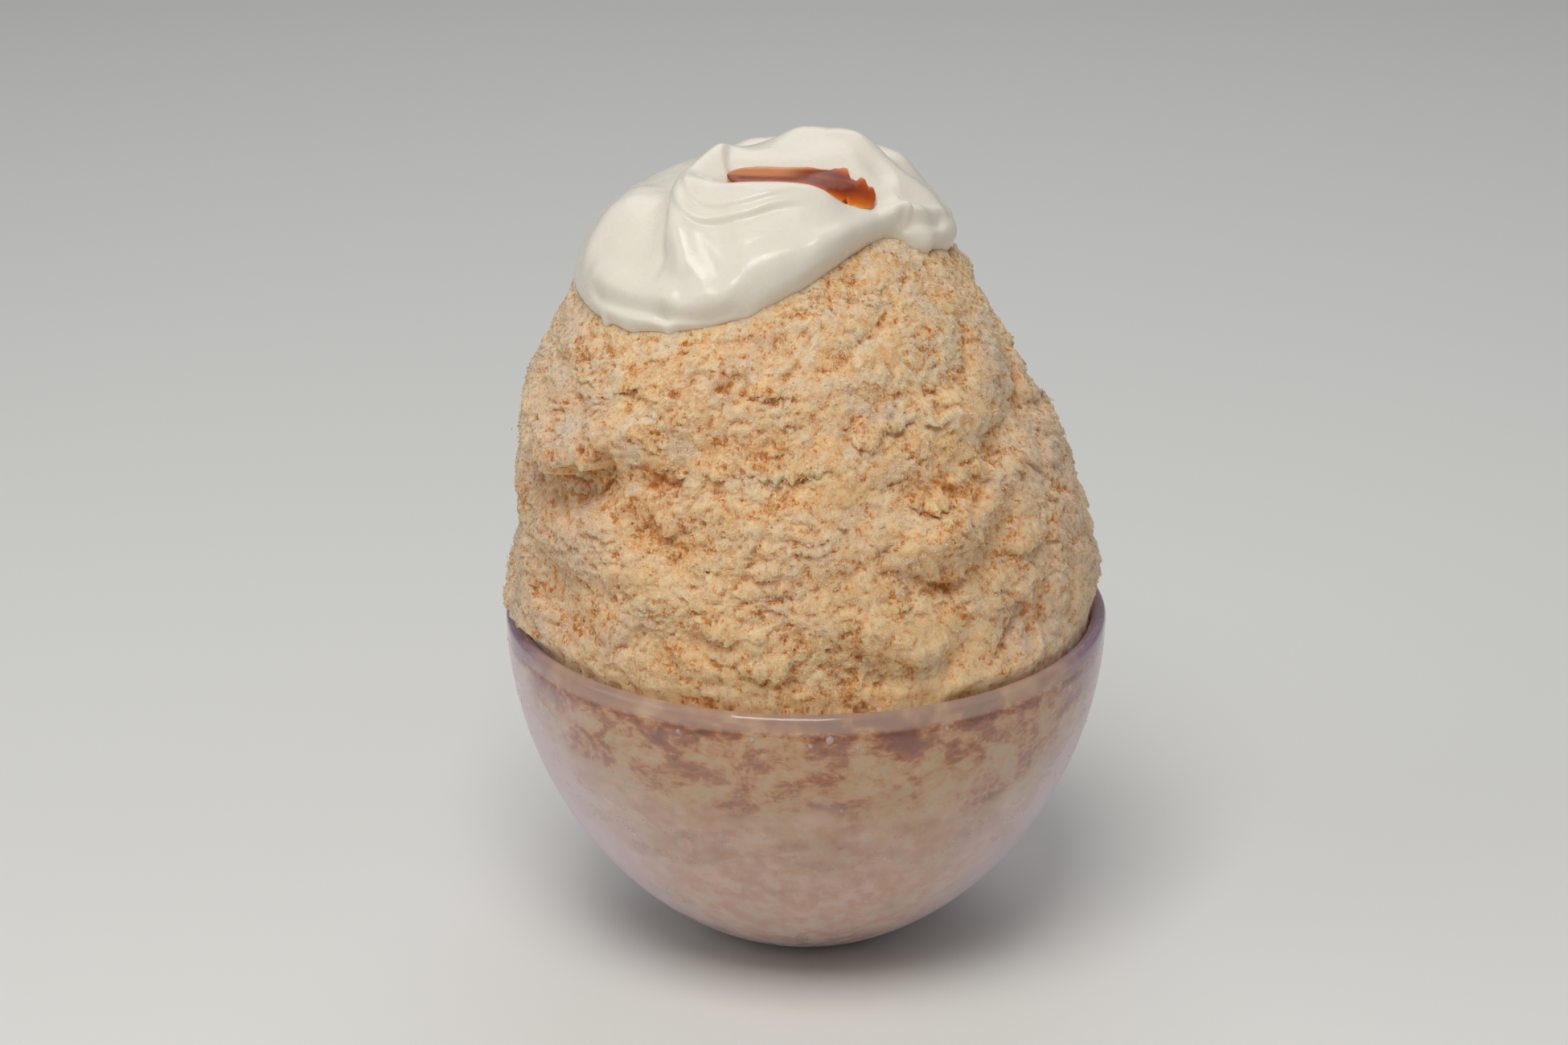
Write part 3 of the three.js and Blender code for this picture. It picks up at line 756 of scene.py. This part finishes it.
def ice_texture(points):
    """Fine relief in millimetres, and hollowness, frost and fringe from 0 to 1, at points on the heap."""
    swirled = warped(points, 2.4, 8, 11)
    # Clumps with narrow valleys between them, at two sizes.
    clumps = np.abs(noise(swirled, (11, 11, 8), 1))
    knobs = np.abs(noise(warped(points, 1.2, 4, 51), (5.2, 5.2, 4), 8))
    valley, valley_2 = 1 - smoothstep(clumps, 0, 0.24), 1 - smoothstep(knobs, 0, 0.2)
    high, under, fringe = feathers(swirled, 6.6, 1.5, 2)
    high_2, under_2, fringe_2 = feathers(warped(swirled, 0.9, 3, 21), 3, 0.9, 7)
    crumbs = noise(warped(points, 0.6, 1.6, 31), (1.9, 1.9, 1.3), 14)
    grains = noise(points, 0.95, 15)
    crowd = smoothstep(noise(points, (14, 14, 10), 16), -0.5, 0.4)
    nicks = crowd * smoothstep(noise(warped(points, 1, 1.7, 41), (2.6, 2.6, 1.5), 17), 0.1, 0.5)
    relief = 0.7 * smoothstep(clumps, 0, 0.5) + 0.4 * smoothstep(knobs, 0, 0.4) - 0.45
    relief += 0.65 * high + 0.5 * high_2 + 0.35 * crumbs + 0.25 * grains - 0.65 * nicks
    # Hollowness darkens the colour in valleys, under the scales and in the nicks: partly syrup gathered
    # there, partly painted shade.
    hollow = 0.02 + 0.36 * valley + 0.2 * valley_2 + 0.25 * under + 0.32 * under_2 * crowd
    hollow = hollow + 0.42 * nicks - 0.2 * crumbs
    patches = smoothstep(noise(points, (17, 17, 12), 18) + 0.35 * noise(points, 4, 19), -0.15, 0.5)
    frost = 0.25 * patches * (0.4 + 0.6 * smoothstep(relief, -0.3, 0.9)) + 0.12 * fringe
    return relief, np.clip(hollow, 0, 1.2), np.clip(frost, 0, 1), np.clip(fringe + 0.7 * fringe_2, 0, 1)


def painted_side_sheen(points):
    """Frost added towards the right and left of the heap, as a painted sheen on its sides."""
    around = points[..., 0] / MOUND_RADIUS
    return np.clip(smoothstep(around, 0.4, 0.9) * 0.8 + smoothstep(-around, 0.5, 0.95) * 0.75, 0, 1)


def ice_surface(node):
    """The heap's outer surface: its grid of points, their normals, and hollowness, frost and fringe."""
    levels = np.linspace(0, COARSE_TOP, COARSE_ROWS)
    macro = blurred(cad_relief(node, levels, all_round(COARSE_COLUMNS)), 2)
    # How far each place lies in a recess below its surroundings, for painted shade there.
    recess = np.clip((blurred(macro, 24) - macro) / 1.4, -0.5, 1)
    azimuths = all_round(ICE_COLUMNS)
    top_level = level_of_height(cream_edge(azimuths) + UNDER_CREAM)
    level = np.linspace(0, 1, ICE_ROWS)[:, None] * top_level[None]
    azimuth = np.broadcast_to(azimuths[None], level.shape)
    form, normal = mound_form(level, azimuth), mound_normal(level, azimuth)
    rows, columns = level / COARSE_TOP * (COARSE_ROWS - 1), azimuth / 360 * COARSE_COLUMNS
    shelves = ICE_SHELVES + broken_edges(np.random.default_rng(SHELF_SEED), MORE_SHELVES)
    ragged = 2.2 * noise(form, (4.4, 4.4, 6), 61) + 1.2 * noise(form, (1.7, 1.7, 3), 62)
    whole = 0.2 + 0.8 * smoothstep(noise(form, (6, 6, 9), 64), -0.3, 0.3)
    steps, under, edge = shelves_at(shelves, azimuth, form[..., 2], ragged, whole)
    marks = strokes_at([(rise, width, on_mound(path)) for rise, width, path in ICE_MARKS], form)
    off_rim = smoothstep(form[..., 2], 71, 78)
    base = form + normal * (read_grid(macro, rows, columns) + off_rim * steps + marks)[..., None]
    relief, hollow, frost, fringe = ice_texture(base)
    out = relief * (0.4 + 0.6 * smoothstep(form[..., 2], 70, 75))
    relief = np.where(relief > 0, out, relief * (0.8 + 0.2 * off_rim))
    relief *= 1 - 0.75 * smoothstep(form[..., 2] - cream_edge(azimuth), -4, 1)
    droop = downhill(normal)
    sag = 0.5 * np.maximum(relief, 0) + 1.7 * edge * off_rim
    points = base + normal * relief[..., None] + droop * sag[..., None]
    # Hollowness under the shelves and in recesses is painted shade, and so is the frost taken away under
    # the shelves.
    hollow = np.clip(hollow + 0.42 * under * off_rim + 0.25 * read_grid(recess, rows, columns), 0, 1.2)
    # The frost added at the sides is a painted sheen.
    frost = np.clip(frost + painted_side_sheen(base) * (0.4 + 0.6 * frost) - 0.25 * under, 0, 1)
    return {
        "points": points, "normal": normal, "droop": droop, "hollow": hollow, "frost": frost,
        "fringe": np.clip(fringe + edge, 0, 1),
    }


def mound_object(surface, material):
    points, azimuths = surface["points"], all_round(ICE_COLUMNS)
    out = outward(azimuths)
    *skirt, start = (out * radius + (0, 0, z) for radius, z in ICE_SKIRT)
    rising = start + np.linspace(0, 1, 5)[:-1, None, None] * (points[0] - start)
    relief, hollow, frost, _ = ice_texture(rising)
    rising += out * np.clip(0.6 * relief, -0.8, 0.6)[..., None]
    # The frost added at the sides is a painted sheen.
    frost = frost + painted_side_sheen(rising) * 0.5
    top = level_of_height(cream_edge(azimuths) + UNDER_CREAM)
    hidden = [
        mound_form(top + (1 - top) * k / HIDDEN_ROWS, azimuths) - HIDDEN_SUNK for k in range(1, HIDDEN_ROWS)
    ]
    rings = np.vstack([skirt, rising, points, hidden])
    vertices, faces = closed_skin(rings, (0, 0, ICE_SKIRT[0][1]), mound_peak() - HIDDEN_SUNK)
    below, above = (np.full((len(part), ICE_COLUMNS), HIDDEN_TONE) for part in (skirt, hidden))
    hollow, frost = (
        with_poles(np.vstack([below, low, high, above]), HIDDEN_TONE, HIDDEN_TONE)
        for low, high in [(hollow, surface["hollow"]), (frost, surface["frost"])]
    )
    return make_mesh("ice_heap", vertices, faces, material, hollow=hollow, frost=frost)


def bowl_ice_object(material):
    """The ice that fills the bowl. It reaches just into the glass, so no air gap shows."""
    into_wall, steps, count, coarser = 0.25, 80, 440, 0.55
    rings = turned(wall_points(BOWL_WALL - into_wall, BOWL_FLOOR - into_wall, steps), count)
    _, hollow, _, _ = ice_texture(rings * coarser + (0, 0, 40))
    hollow = 0.1 + 1.1 * hollow + 0.5 * noise(rings, (13, 13, 9), 63)
    hollow = np.clip(hollow + 0.8 * smoothstep(rings[..., 2], 56, 64), 0, 1.6)
    points, faces = closed_skin(rings, (0, 0, BOWL_FLOOR - into_wall), (0, 0, LIP_Z - 2))
    hollow = with_poles(hollow, HIDDEN_TONE, HIDDEN_TONE)
    return make_mesh("ice_in_bowl", points, faces, material, hollow=hollow)


def scatter(surface, rng, count, preferred):
    """Places on the heap, drawn by area and by preference, and what the surface has there."""
    points = surface["points"]
    columns = points.shape[1]
    tall = np.linalg.norm(points[1:] - points[:-1], axis=-1).mean(1)
    wide = np.linalg.norm(points[:-1] - np.roll(points[:-1], 1, 1), axis=-1).mean(1)
    weight = preferred[:-1].ravel() * np.repeat(tall * wide, columns)
    pick = rng.choice(len(weight), count, p=weight / weight.sum())
    i, j = pick // columns, pick % columns
    u, v = rng.random((2, count, 1))
    at = points[i, j] * (1 - u) + points[i, (j + 1) % columns] * u
    at += v * (points[i + 1, j] - points[i, j])
    return at, {key: surface[key][i, j] for key in ("normal", "droop", "hollow", "frost")}


def laid(flow, normal):
    """Unit vectors that point the way of the flow, laid into the surface with these normals."""
    return unit(flow - normal * np.sum(flow * normal, 1, keepdims=True))


def strewn(name, corners, pattern, there, rng, material):
    """One mesh of many loose chips, each with the given corners and the pattern's triangles."""
    each, count = len(corners), len(corners[0])
    faces = np.arange(count)[:, None, None] * each + np.array(pattern)[None]
    frost = np.clip(there["frost"] + rng.uniform(-0.1, 0.3, count), 0, 1)
    return make_mesh(
        name, np.stack(corners, 1).reshape(-1, 3), faces.reshape(-1, 3), material, smooth=False,
        hollow=np.repeat(0.5 * there["hollow"], each), frost=np.repeat(frost, each),
    )


def flakes(surface, material, rng, count):
    """Flat chips of shaved ice, each a thin irregular tetrahedron, strewn over what stands out."""
    at, there = scatter(surface, rng, count, np.clip(1.05 - surface["hollow"], 0.03, 1) ** 2)
    out = there["normal"]
    along = laid(there["droop"] * 0.5 + rng.normal(size=(count, 3)), out)
    tilt = np.radians(rng.uniform(-8, 18, (count, 1)))
    along, out = along * np.cos(tilt) + out * np.sin(tilt), out * np.cos(tilt) - along * np.sin(tilt)
    side = np.cross(along, out)
    length, width = rng.uniform(0.25, 0.7, (count, 1)), rng.uniform(0.15, 0.4, (count, 1))
    thick = rng.uniform(0.06, 0.16, (count, 1))
    middle = at + out * 0.05
    corners = [
        middle - along * length * 0.4 - out * 0.15, middle + along * length * 0.6,
        middle + side * width + along * length * rng.uniform(-0.3, 0.4, (count, 1)),
        middle + out * thick - side * width * rng.uniform(0, 1, (count, 1)),
    ]
    pattern = [[0, 1, 2], [0, 2, 3], [0, 3, 1], [1, 3, 2]]
    return strewn("ice_flakes", corners, pattern, there, rng, material)


def shreds(surface, material, rng, count):
    """Fine splinters of ice that fringe the broken edges and hang over the hollows."""
    at, there = scatter(surface, rng, count, 0.06 + surface["fringe"] ** 2)
    out = there["normal"]
    along = laid(1.1 * there["droop"] + 0.75 * rng.normal(size=(count, 3)), out)
    tilt = np.radians(rng.uniform(0, 45, (count, 1)))
    direction = along * np.cos(tilt) + out * np.sin(tilt)
    side = unit(np.cross(direction, out))
    up = np.cross(side, direction)
    size = rng.uniform(0.4, 1, (count, 1))
    wide = rng.uniform(0.06, 0.14, (count, 1))
    foot = at - out * 0.2
    middle = foot + direction * size * 0.5
    tip = foot + direction * size + there["droop"] * size * 0.15
    corners = [
        foot, middle + side * wide, middle - side * wide * 0.6 + up * wide, middle - up * wide * 0.8, tip,
    ]
    pattern = [[0, 1, 2], [0, 2, 3], [0, 3, 1], [4, 2, 1], [4, 3, 2], [4, 1, 3]]
    return strewn("ice_shreds", corners, pattern, there, rng, material)


# ---- whipped cream

# Soft ridges and furrows: (rise, width, path).
CREAM_STROKES = [
    # The crest behind the caramel, the trough it lies in, and the swirl's flat turn in front.
    (3, 6, [(-1, 9, 163), (4, 8, 164), (9, 5, 163)]),
    (-4.6, 5.6, [(-13, -11, 161), (-8, -11.4, 161), (-2, -11.6, 161), (3, -11.8, 160)]),
    (-2.6, 5.2, [(8, -12, 159), (12, -11.6, 157.5)]),
    (2.2, 4.5, [(-20, -16, 160), (-13, -19.4, 160), (-4, -20.4, 160), (3, -19.4, 159)]),
    # Left: a scooped face, the ridge that cuts it off on its right, and the rim on its left.
    (-3, 9, [(-29, 4, 157), (-24, 11, 158), (-16, 16, 159.5), (-8, 17, 160.5)]),
    (-2.6, 5.5, [(-19, 8, 160), (-26, -4, 158), (-29, -12, 155), (-31, -20, 151), (-31, -26, 147)]),
    (1.3, 3.2, [(-16, 2, 162), (-22, -8, 160), (-24, -15, 157), (-24, -22, 154), (-24, -29, 148)]),
    (1.4, 4.5, [(-34, 2, 155), (-38, -6, 151), (-41, -10, 146), (-42, -15, 142), (-39, -22, 139.5)]),
    # Front: the ridge, dip and roll along the edge, and the body's valleys and swellings.
    (1.2, 3, [(-39, -19, 142.5), (-36, -22.5, 142.6), (-31, -26.5, 142.6), (-26, -30, 142.4)]),
    (-2, 1.7, [(-39.5, -20, 139), (-37.8, -23.3, 138.8), (-31.9, -28.5, 139), (-27.2, -32, 138.9)]),
    (-2, 1.6, [(-27.2, -32, 138.9), (-21.9, -34.6, 138.6), (-18, -35.2, 138.8), (-14.5, -35.4, 140.2)]),
    (1.5, 2.3, [(-38, -25, 136.2), (-32, -30, 136.4), (-26, -34, 136.2), (-20, -36.4, 136.2)]),
    (1.6, 3.6, [(-24, -33.5, 141), (-20, -34.5, 142), (-16, -35, 142.5)]),
    (-1.4, 2.8, [(-26, -26, 149), (-25, -29.5, 145.5), (-23.5, -32, 143)]),
    (-1.2, 3.4, [(-17, -27, 153), (-16, -30.5, 149.5), (-15, -33, 146.5)]),
    (0.9, 2.8, [(-14, -34, 145), (-11, -33.5, 148), (-8, -33, 149.8), (-3, -31.5, 150.8)]),
    (1, 6, [(-4, -33, 147), (2, -30, 148.5), (7, -26, 149)]),
    # Right: the thin pointed shelf, the curl, the crease over it, and the shoulder.
    (0.9, 2.4, [(16, -14, 150.4), (13.5, -16, 150.5), (8, -22, 150.5), (2.5, -27.5, 151)]),
    (1.9, 1.4, [(15.4, -13.6, 149.6), (17.6, -11.6, 148.7)]),
    (1.4, 3.2, [(21, -10, 146), (24, -7.5, 145.4), (27, -1, 146), (27, 6, 147)]),
    (-1.6, 1.5, [(18.4, -11.6, 150.5), (21, -9.2, 149.6), (25, -5.8, 149.2)]),
    (0.9, 1.5, [(17, -12.6, 152.6), (20.9, -9.5, 151.8), (24.9, -5.6, 151.2), (27.5, -3, 151.3)]),
    (-1.3, 1.1, [(17.5, -12.2, 151.2)]),
    (-1.3, 5, [(20, 6, 158), (26, 6, 154), (30, 4, 149)]),
    (-1.2, 4, [(14, -3, 160.5), (18, -4, 158), (20, -6, 155.5)]),
    # Back: the swirl's turn comes round and runs out on the left.
    (1.8, 5, [(18, 17, 156), (12, 23, 157), (2, 26, 157), (-10, 25, 157)]),
    (-1.6, 4, [(14, 12, 160), (3, 18, 161.5), (-9, 17, 161.5)]),
]

# Folds too fine for the CAD part, as folds_at takes them.
CREAM_FOLDS = [
    # The swirl's lip, over the scooped face.
    (1.6, 1, 4.5, 0.25, [
        (-28, -27, 143), (-26.5, -26, 149), (-25.6, -20, 154), (-25, -14, 157), (-23, -7, 159),
        (-19, 0, 160.5), (-12, 10, 161),
    ]),
    # The two fine arcs under the swirl.
    (0.8, 0.5, 2.4, 0.25, [
        (2, -22, 158), (-5.7, -23.6, 158), (-11, -24.8, 156.9), (-16, -24.4, 155.4), (-21, -23.4, 155.2),
        (-24, -20, 156.5), (-24.6, -14, 157.5),
    ]),
    (0.6, 0.5, 2, 0.25, [
        (0, -19.5, 159), (-7, -22, 158.7), (-12, -22.6, 157.7), (-16.5, -22, 157), (-20.5, -20, 157.4),
        (-22.5, -15, 158.6), (-22, -9, 160),
    ]),
    # The trough's rim, in front of the caramel and on its left.
    (0.7, 0.8, 3, 0.25, [
        (-18, -9, 160), (-17, -14, 160), (-12, -17.4, 160.4), (-4, -18.2, 160.5), (1, -18, 159.8),
        (6, -17, 158),
    ]),
    (1, 0.7, 3, 0.25, [
        (-14.6, 3, 162.5), (-16, -1, 162.3), (-16.2, -5, 161.6), (-15.4, -8, 160.4), (-14, -12, 159.6),
    ]),
    # The inner edge of the outer turn, behind the caramel and on its right.
    (0.7, 1.4, 4.5, 0.25, [
        (17, -9, 154), (17.2, -4.6, 156.6), (15.8, -1.2, 158.6), (12, 1, 161), (6, 4.4, 163.8),
        (-1, 6, 164),
    ]),
    # The soft line that runs down the body from the swirl.
    (0.6, 1.4, 4, 0.25, [(-13, -35.4, 142), (-14.6, -33, 147), (-18, -28.5, 152), (-21, -24, 155)]),
    # The thin pointed shelf, and the short crease beside its point.
    (1.8, 0.5, 3.2, 0.05, [
        (18.2, -10.6, 148.1), (15.5, -13.1, 148.8), (13.1, -15.8, 149.1), (10.7, -19.2, 149.2),
        (8.5, -21.9, 148.9), (5.4, -26, 148.4), (2.4, -29, 147.8), (-0.7, -31.1, 146.6), (-5, -33, 145.4),
    ]),
    (1.4, 0.5, 2.6, 0.35, [
        (23.5, -7, 148.6), (21.3, -9.2, 149.8), (19.4, -10.7, 150.9), (17.4, -12.2, 151.4),
        (15.5, -14, 152), (13, -15.5, 152.6),
    ]),
]

# Where the cream's edge has run down, in broad laps and fine drips: (azimuth, drop, half width).
CREAM_LAPS = [(66, 2.2, 6.5)]
CREAM_DRIPS = [
    (-54, 1, 1.5), (-44, 0.5, 4), (-31, 0.6, 1.6), (-9, 0.5, 3), (150, 1.5, 2.4), (-118, 1.2, 3),
    (96, 1, 2.2),
]


def run_down(runs, azimuth):
    return sum(drop * np.exp(-((turn(azimuth, middle) / half) ** 2)) for middle, drop, half in runs)


def cream_surface(columns, rows):
    azimuths = all_round(columns)
    across = (1 - (np.arange(rows) / rows) ** 1.3)[:, None]
    edge = cream_edge(azimuths)
    start = level_of_height(edge)
    lap, drip = (
        start - level_of_height(edge - run_down(runs, azimuths)) for runs in (CREAM_LAPS, CREAM_DRIPS)
    )
    level = 1 - across * (1 - start) - lap * across**5 - drip * across**60
    azimuth = np.broadcast_to(azimuths, level.shape)
    rounding = np.sqrt(np.maximum(0, 1 - across ** (2 * CREAM_EDGE_FULLNESS)))
    thickness = CREAM_THICKNESS + CREAM_CROWN * (1 - across * across)
    base, normal = mound_form(level, azimuth), mound_normal(level, azimuth)
    # The skin starts just inside the ice, and its edge hangs over as a soft roll.
    inside, roll = 0.6, 5
    skin = base + normal * (-inside + rounding * (thickness + 0.3 + inside))[..., None]
    skin += downhill(normal) * (roll * rounding**3 * (1 - rounding))[..., None]
    swirl = strokes_at(CREAM_STROKES, skin) + folds_at(CREAM_FOLDS, skin, normal)
    swirl += 0.12 * noise(skin, 6, 71)
    return skin + normal * (rounding * swirl)[..., None]


def cream_object():
    columns, rows, sunk = 600, 158, (0, 0, 0.8)
    rings = cream_surface(columns, rows)
    azimuths = all_round(columns)
    edge = level_of_height(cream_edge(azimuths))
    under = np.stack([mound_form(1 - k * (1 - edge), azimuths) - sunk for k in (0.3, 0.6, 0.9)])
    points, faces = closed_skin(np.vstack([under, rings]), mound_peak() - sunk, rings[-1].mean(0))
    return make_mesh("cream_dollop", points, faces, cream_material())


# ---- caramel sauce

CARAMEL_PATH = [
    (-15.3, -10, 160), (-10, -10.5, 160), (-4, -10.8, 160),
    (2, -11.4, 159.6), (7, -11.8, 158), (13, -12, 155.4),
]
CARAMEL_HALF_WIDTH = 5.8


def caramel_object(cream):
    """The pool in the cream's trough. Its shore is where it meets the cream."""
    stations, count, deepest, crown = 110, 40, 2.6, 0.3
    path = catmull_rom(CARAMEL_PATH, 400)
    arc = np.concatenate([[0], np.cumsum(np.linalg.norm(np.diff(path, axis=0), axis=1))])
    along = np.linspace(0, 1, stations + 2)[1:-1]
    centre = np.stack([np.interp(along * arc[-1], arc, path[:, k]) for k in range(3)], -1)
    lean = smoothstep(along, 0.45, 0.9)[:, None]
    facing = unit((1 - lean) * np.array([0, -0.06, 1]) + lean * np.array([0.06, -0.34, 1]))
    side = unit(np.cross(facing, np.gradient(centre, axis=0)))
    ends = (1 - np.abs(2 * along - 1) ** np.where(along < 0.5, 3, 4)) ** 0.5
    angle = 2 * np.pi * np.arange(count) / count
    # The two shores are ragged in their own ways, and the right end more than the left.
    spot = np.zeros((stations, count, 3))
    spot[..., 0] = along[:, None] * 40
    spot[..., 1] = np.sign(np.cos(angle)) * 3
    ragged = 1 + 0.22 * noise(spot, 6, 81) + (0.06 + 0.45 * lean) * noise(spot, 1.7, 82)
    reach = CARAMEL_HALF_WIDTH * (1 + 0.1 * smoothstep(along, 0.55, 0.8))
    wide = (reach * ends)[:, None] * ragged * np.cos(angle)
    high = np.where(np.sin(angle) < 0, deepest * ends[:, None], crown) * np.sin(angle)
    rings = centre[:, None] + side[:, None] * wide[..., None] + facing[:, None] * high[..., None]
    points, faces = closed_skin(rings, path[0], path[-1])
    tree = tree_of(cream)
    height_over = 0.01
    depth = np.zeros(len(points))
    for number, point in enumerate(points):
        top = Vector(point * MM) + Vector((0, 0, height_over))
        hit = tree.ray_cast(top, Vector((0, 0, -1)))[3]
        depth[number] = (hit - height_over) / MM if hit is not None else 0
    # Where the caramel is painted paler, as a reflection.
    milky = 0.9 * (1 - smoothstep(along, 0.32, 0.55))[:, None] * smoothstep(np.cos(angle), -0.5, 0)
    return make_mesh(
        "caramel_pool", points, faces, caramel_material(),
        depth=np.clip(depth / deepest, 0, 1), milky=with_poles(milky, 0, 0),
    )


# ---- water beads

# The larger drops: (azimuth, z, size). The small ones are strewn at random.
BEADS = [
    (4, 64.4, 0.8), (-10, 64.2, 0.6), (0.5, 63.2, 0.5), (9, 62.5, 0.45), (-24, 64, 0.5), (26, 64.3, 0.5),
]
SMALL_BEADS = 60


def beads_object(rng):
    """Small drops of condensation that cling to the bowl under its lip."""
    spans = [(-180, 180), (40, 64), (0.15, 0.4)]
    spots = BEADS + [[rng.uniform(*span) for span in spans] for _ in range(SMALL_BEADS)]
    wall = wall_points(0, 0, 200)
    turns, levels, sunk, bulge, stretch = 10, 5, 0.1, 0.6, 1.15
    angle = np.linspace(0, 2 * np.pi, turns, endpoint=False)[:, None]
    rises = np.linspace(0, np.pi / 2, levels, endpoint=False)
    all_points, all_faces, used = [], [], 0
    for azimuth, z, size in spots:
        out = outward(np.array(azimuth))
        middle = out * (np.interp(z, wall[:, 1], wall[:, 0]) - sunk) + (0, 0, z)
        disc = np.cross((0, 0, 1), out) * np.cos(angle) + np.array([0, 0, stretch]) * np.sin(angle)
        rings = [middle + out * bulge * size * math.sin(a) + disc * size * math.cos(a) for a in rises]
        points, faces = closed_skin(np.stack(rings), middle, middle + out * bulge * size)
        all_points.append(points)
        all_faces.append(faces + used)
        used += len(points)
    return make_mesh("water_beads", np.vstack(all_points), np.vstack(all_faces), water_material())


# ---- studio

# The camera and the lights all look at the aim. These are in metres.
AIM = Vector((-0.0044, 0, 0.0856))
CAMERA_DISTANCE = 0.8
CAMERA_ELEVATION = 20.5
CAMERA_LENS = 92.3
FLOOR_HALF_WIDTH = 3000

WARM, COOL = (1, 0.98, 0.95), (0.97, 0.98, 1)
LIGHTS = [  # name, azimuth, elevation, distance, size, power, colour
    ("key", -12, 60, 1, 0.5, 5.9, WARM),
    ("left", -70, 26, 1.1, 0.7, 1.6, COOL),
    ("right", 74, 26, 1.1, 0.7, 0.6, COOL),
    ("back", 175, 50, 1, 0.7, 1.6, COOL),
]


def aimed(name, data, azimuth, elevation, distance):
    """An object that looks at the aim from the given side."""
    a, e = math.radians(azimuth), math.radians(elevation)
    way = Vector((math.sin(a) * math.cos(e), -math.cos(a) * math.cos(e), math.sin(e)))
    made = bpy.data.objects.new(name, data)
    made.location = AIM + way * distance
    made.rotation_euler = way.to_track_quat("Z", "Y").to_euler()
    bpy.context.scene.collection.objects.link(made)
    return made


def studio():
    scene, half = bpy.context.scene, FLOOR_HALF_WIDTH
    corners = np.array([(-half, -half, 0), (half, -half, 0), (half, half, 0), (-half, half, 0)])
    make_mesh("floor", corners, np.array([[0, 1, 2, 3]]), floor_material(), smooth=False)
    for name, azimuth, elevation, distance, size, power, colour in LIGHTS:
        data = bpy.data.lights.new(name, "AREA")
        data.size, data.energy, data.color = size, power, colour
        aimed(name, data, azimuth, elevation, distance)
    scene.world = bpy.data.worlds.new("studio")
    scene.world.use_nodes = True
    background = scene.world.node_tree.nodes["Background"].inputs
    background["Color"].default_value = (0.86, 0.88, 0.9, 1)
    background["Strength"].default_value = 0.27
    data = bpy.data.cameras.new("camera")
    data.lens, data.sensor_width = CAMERA_LENS, 36
    data.clip_start, data.clip_end = 0.05, 20
    scene.camera = aimed("camera", data, 0, CAMERA_ELEVATION, CAMERA_DISTANCE)
    scene.view_settings.view_transform = "Standard"


# ---- the dessert


def main():
    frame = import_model()
    rng = np.random.default_rng(SEED)
    ice, loose_ice = ice_material(), ice_material("loose_ice", subsurface=0)
    surface = ice_surface(frame["nodes"]["shaved_ice"])
    cream = cream_object()
    pieces = [
        (bowl_object(), "glass_bowl", "frosted_glass"),
        (mound_object(surface, ice), "shaved_ice", "syruped_ice"),
        (bowl_ice_object(packed_ice_material()), "shaved_ice", "syruped_ice"),
        (flakes(surface, loose_ice, rng, FLAKES), "shaved_ice", "syruped_ice"),
        (shreds(surface, loose_ice, rng, SHREDS), "shaved_ice", "syruped_ice"),
        (cream, "whipped_cream", "cream"),
        (caramel_object(cream), "caramel_sauce", "caramel"),
        (beads_object(rng), "glass_bowl", "frosted_glass"),
    ]
    for piece, node, slot in pieces:
        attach(piece, "root")
        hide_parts(node)
    studio()


main()
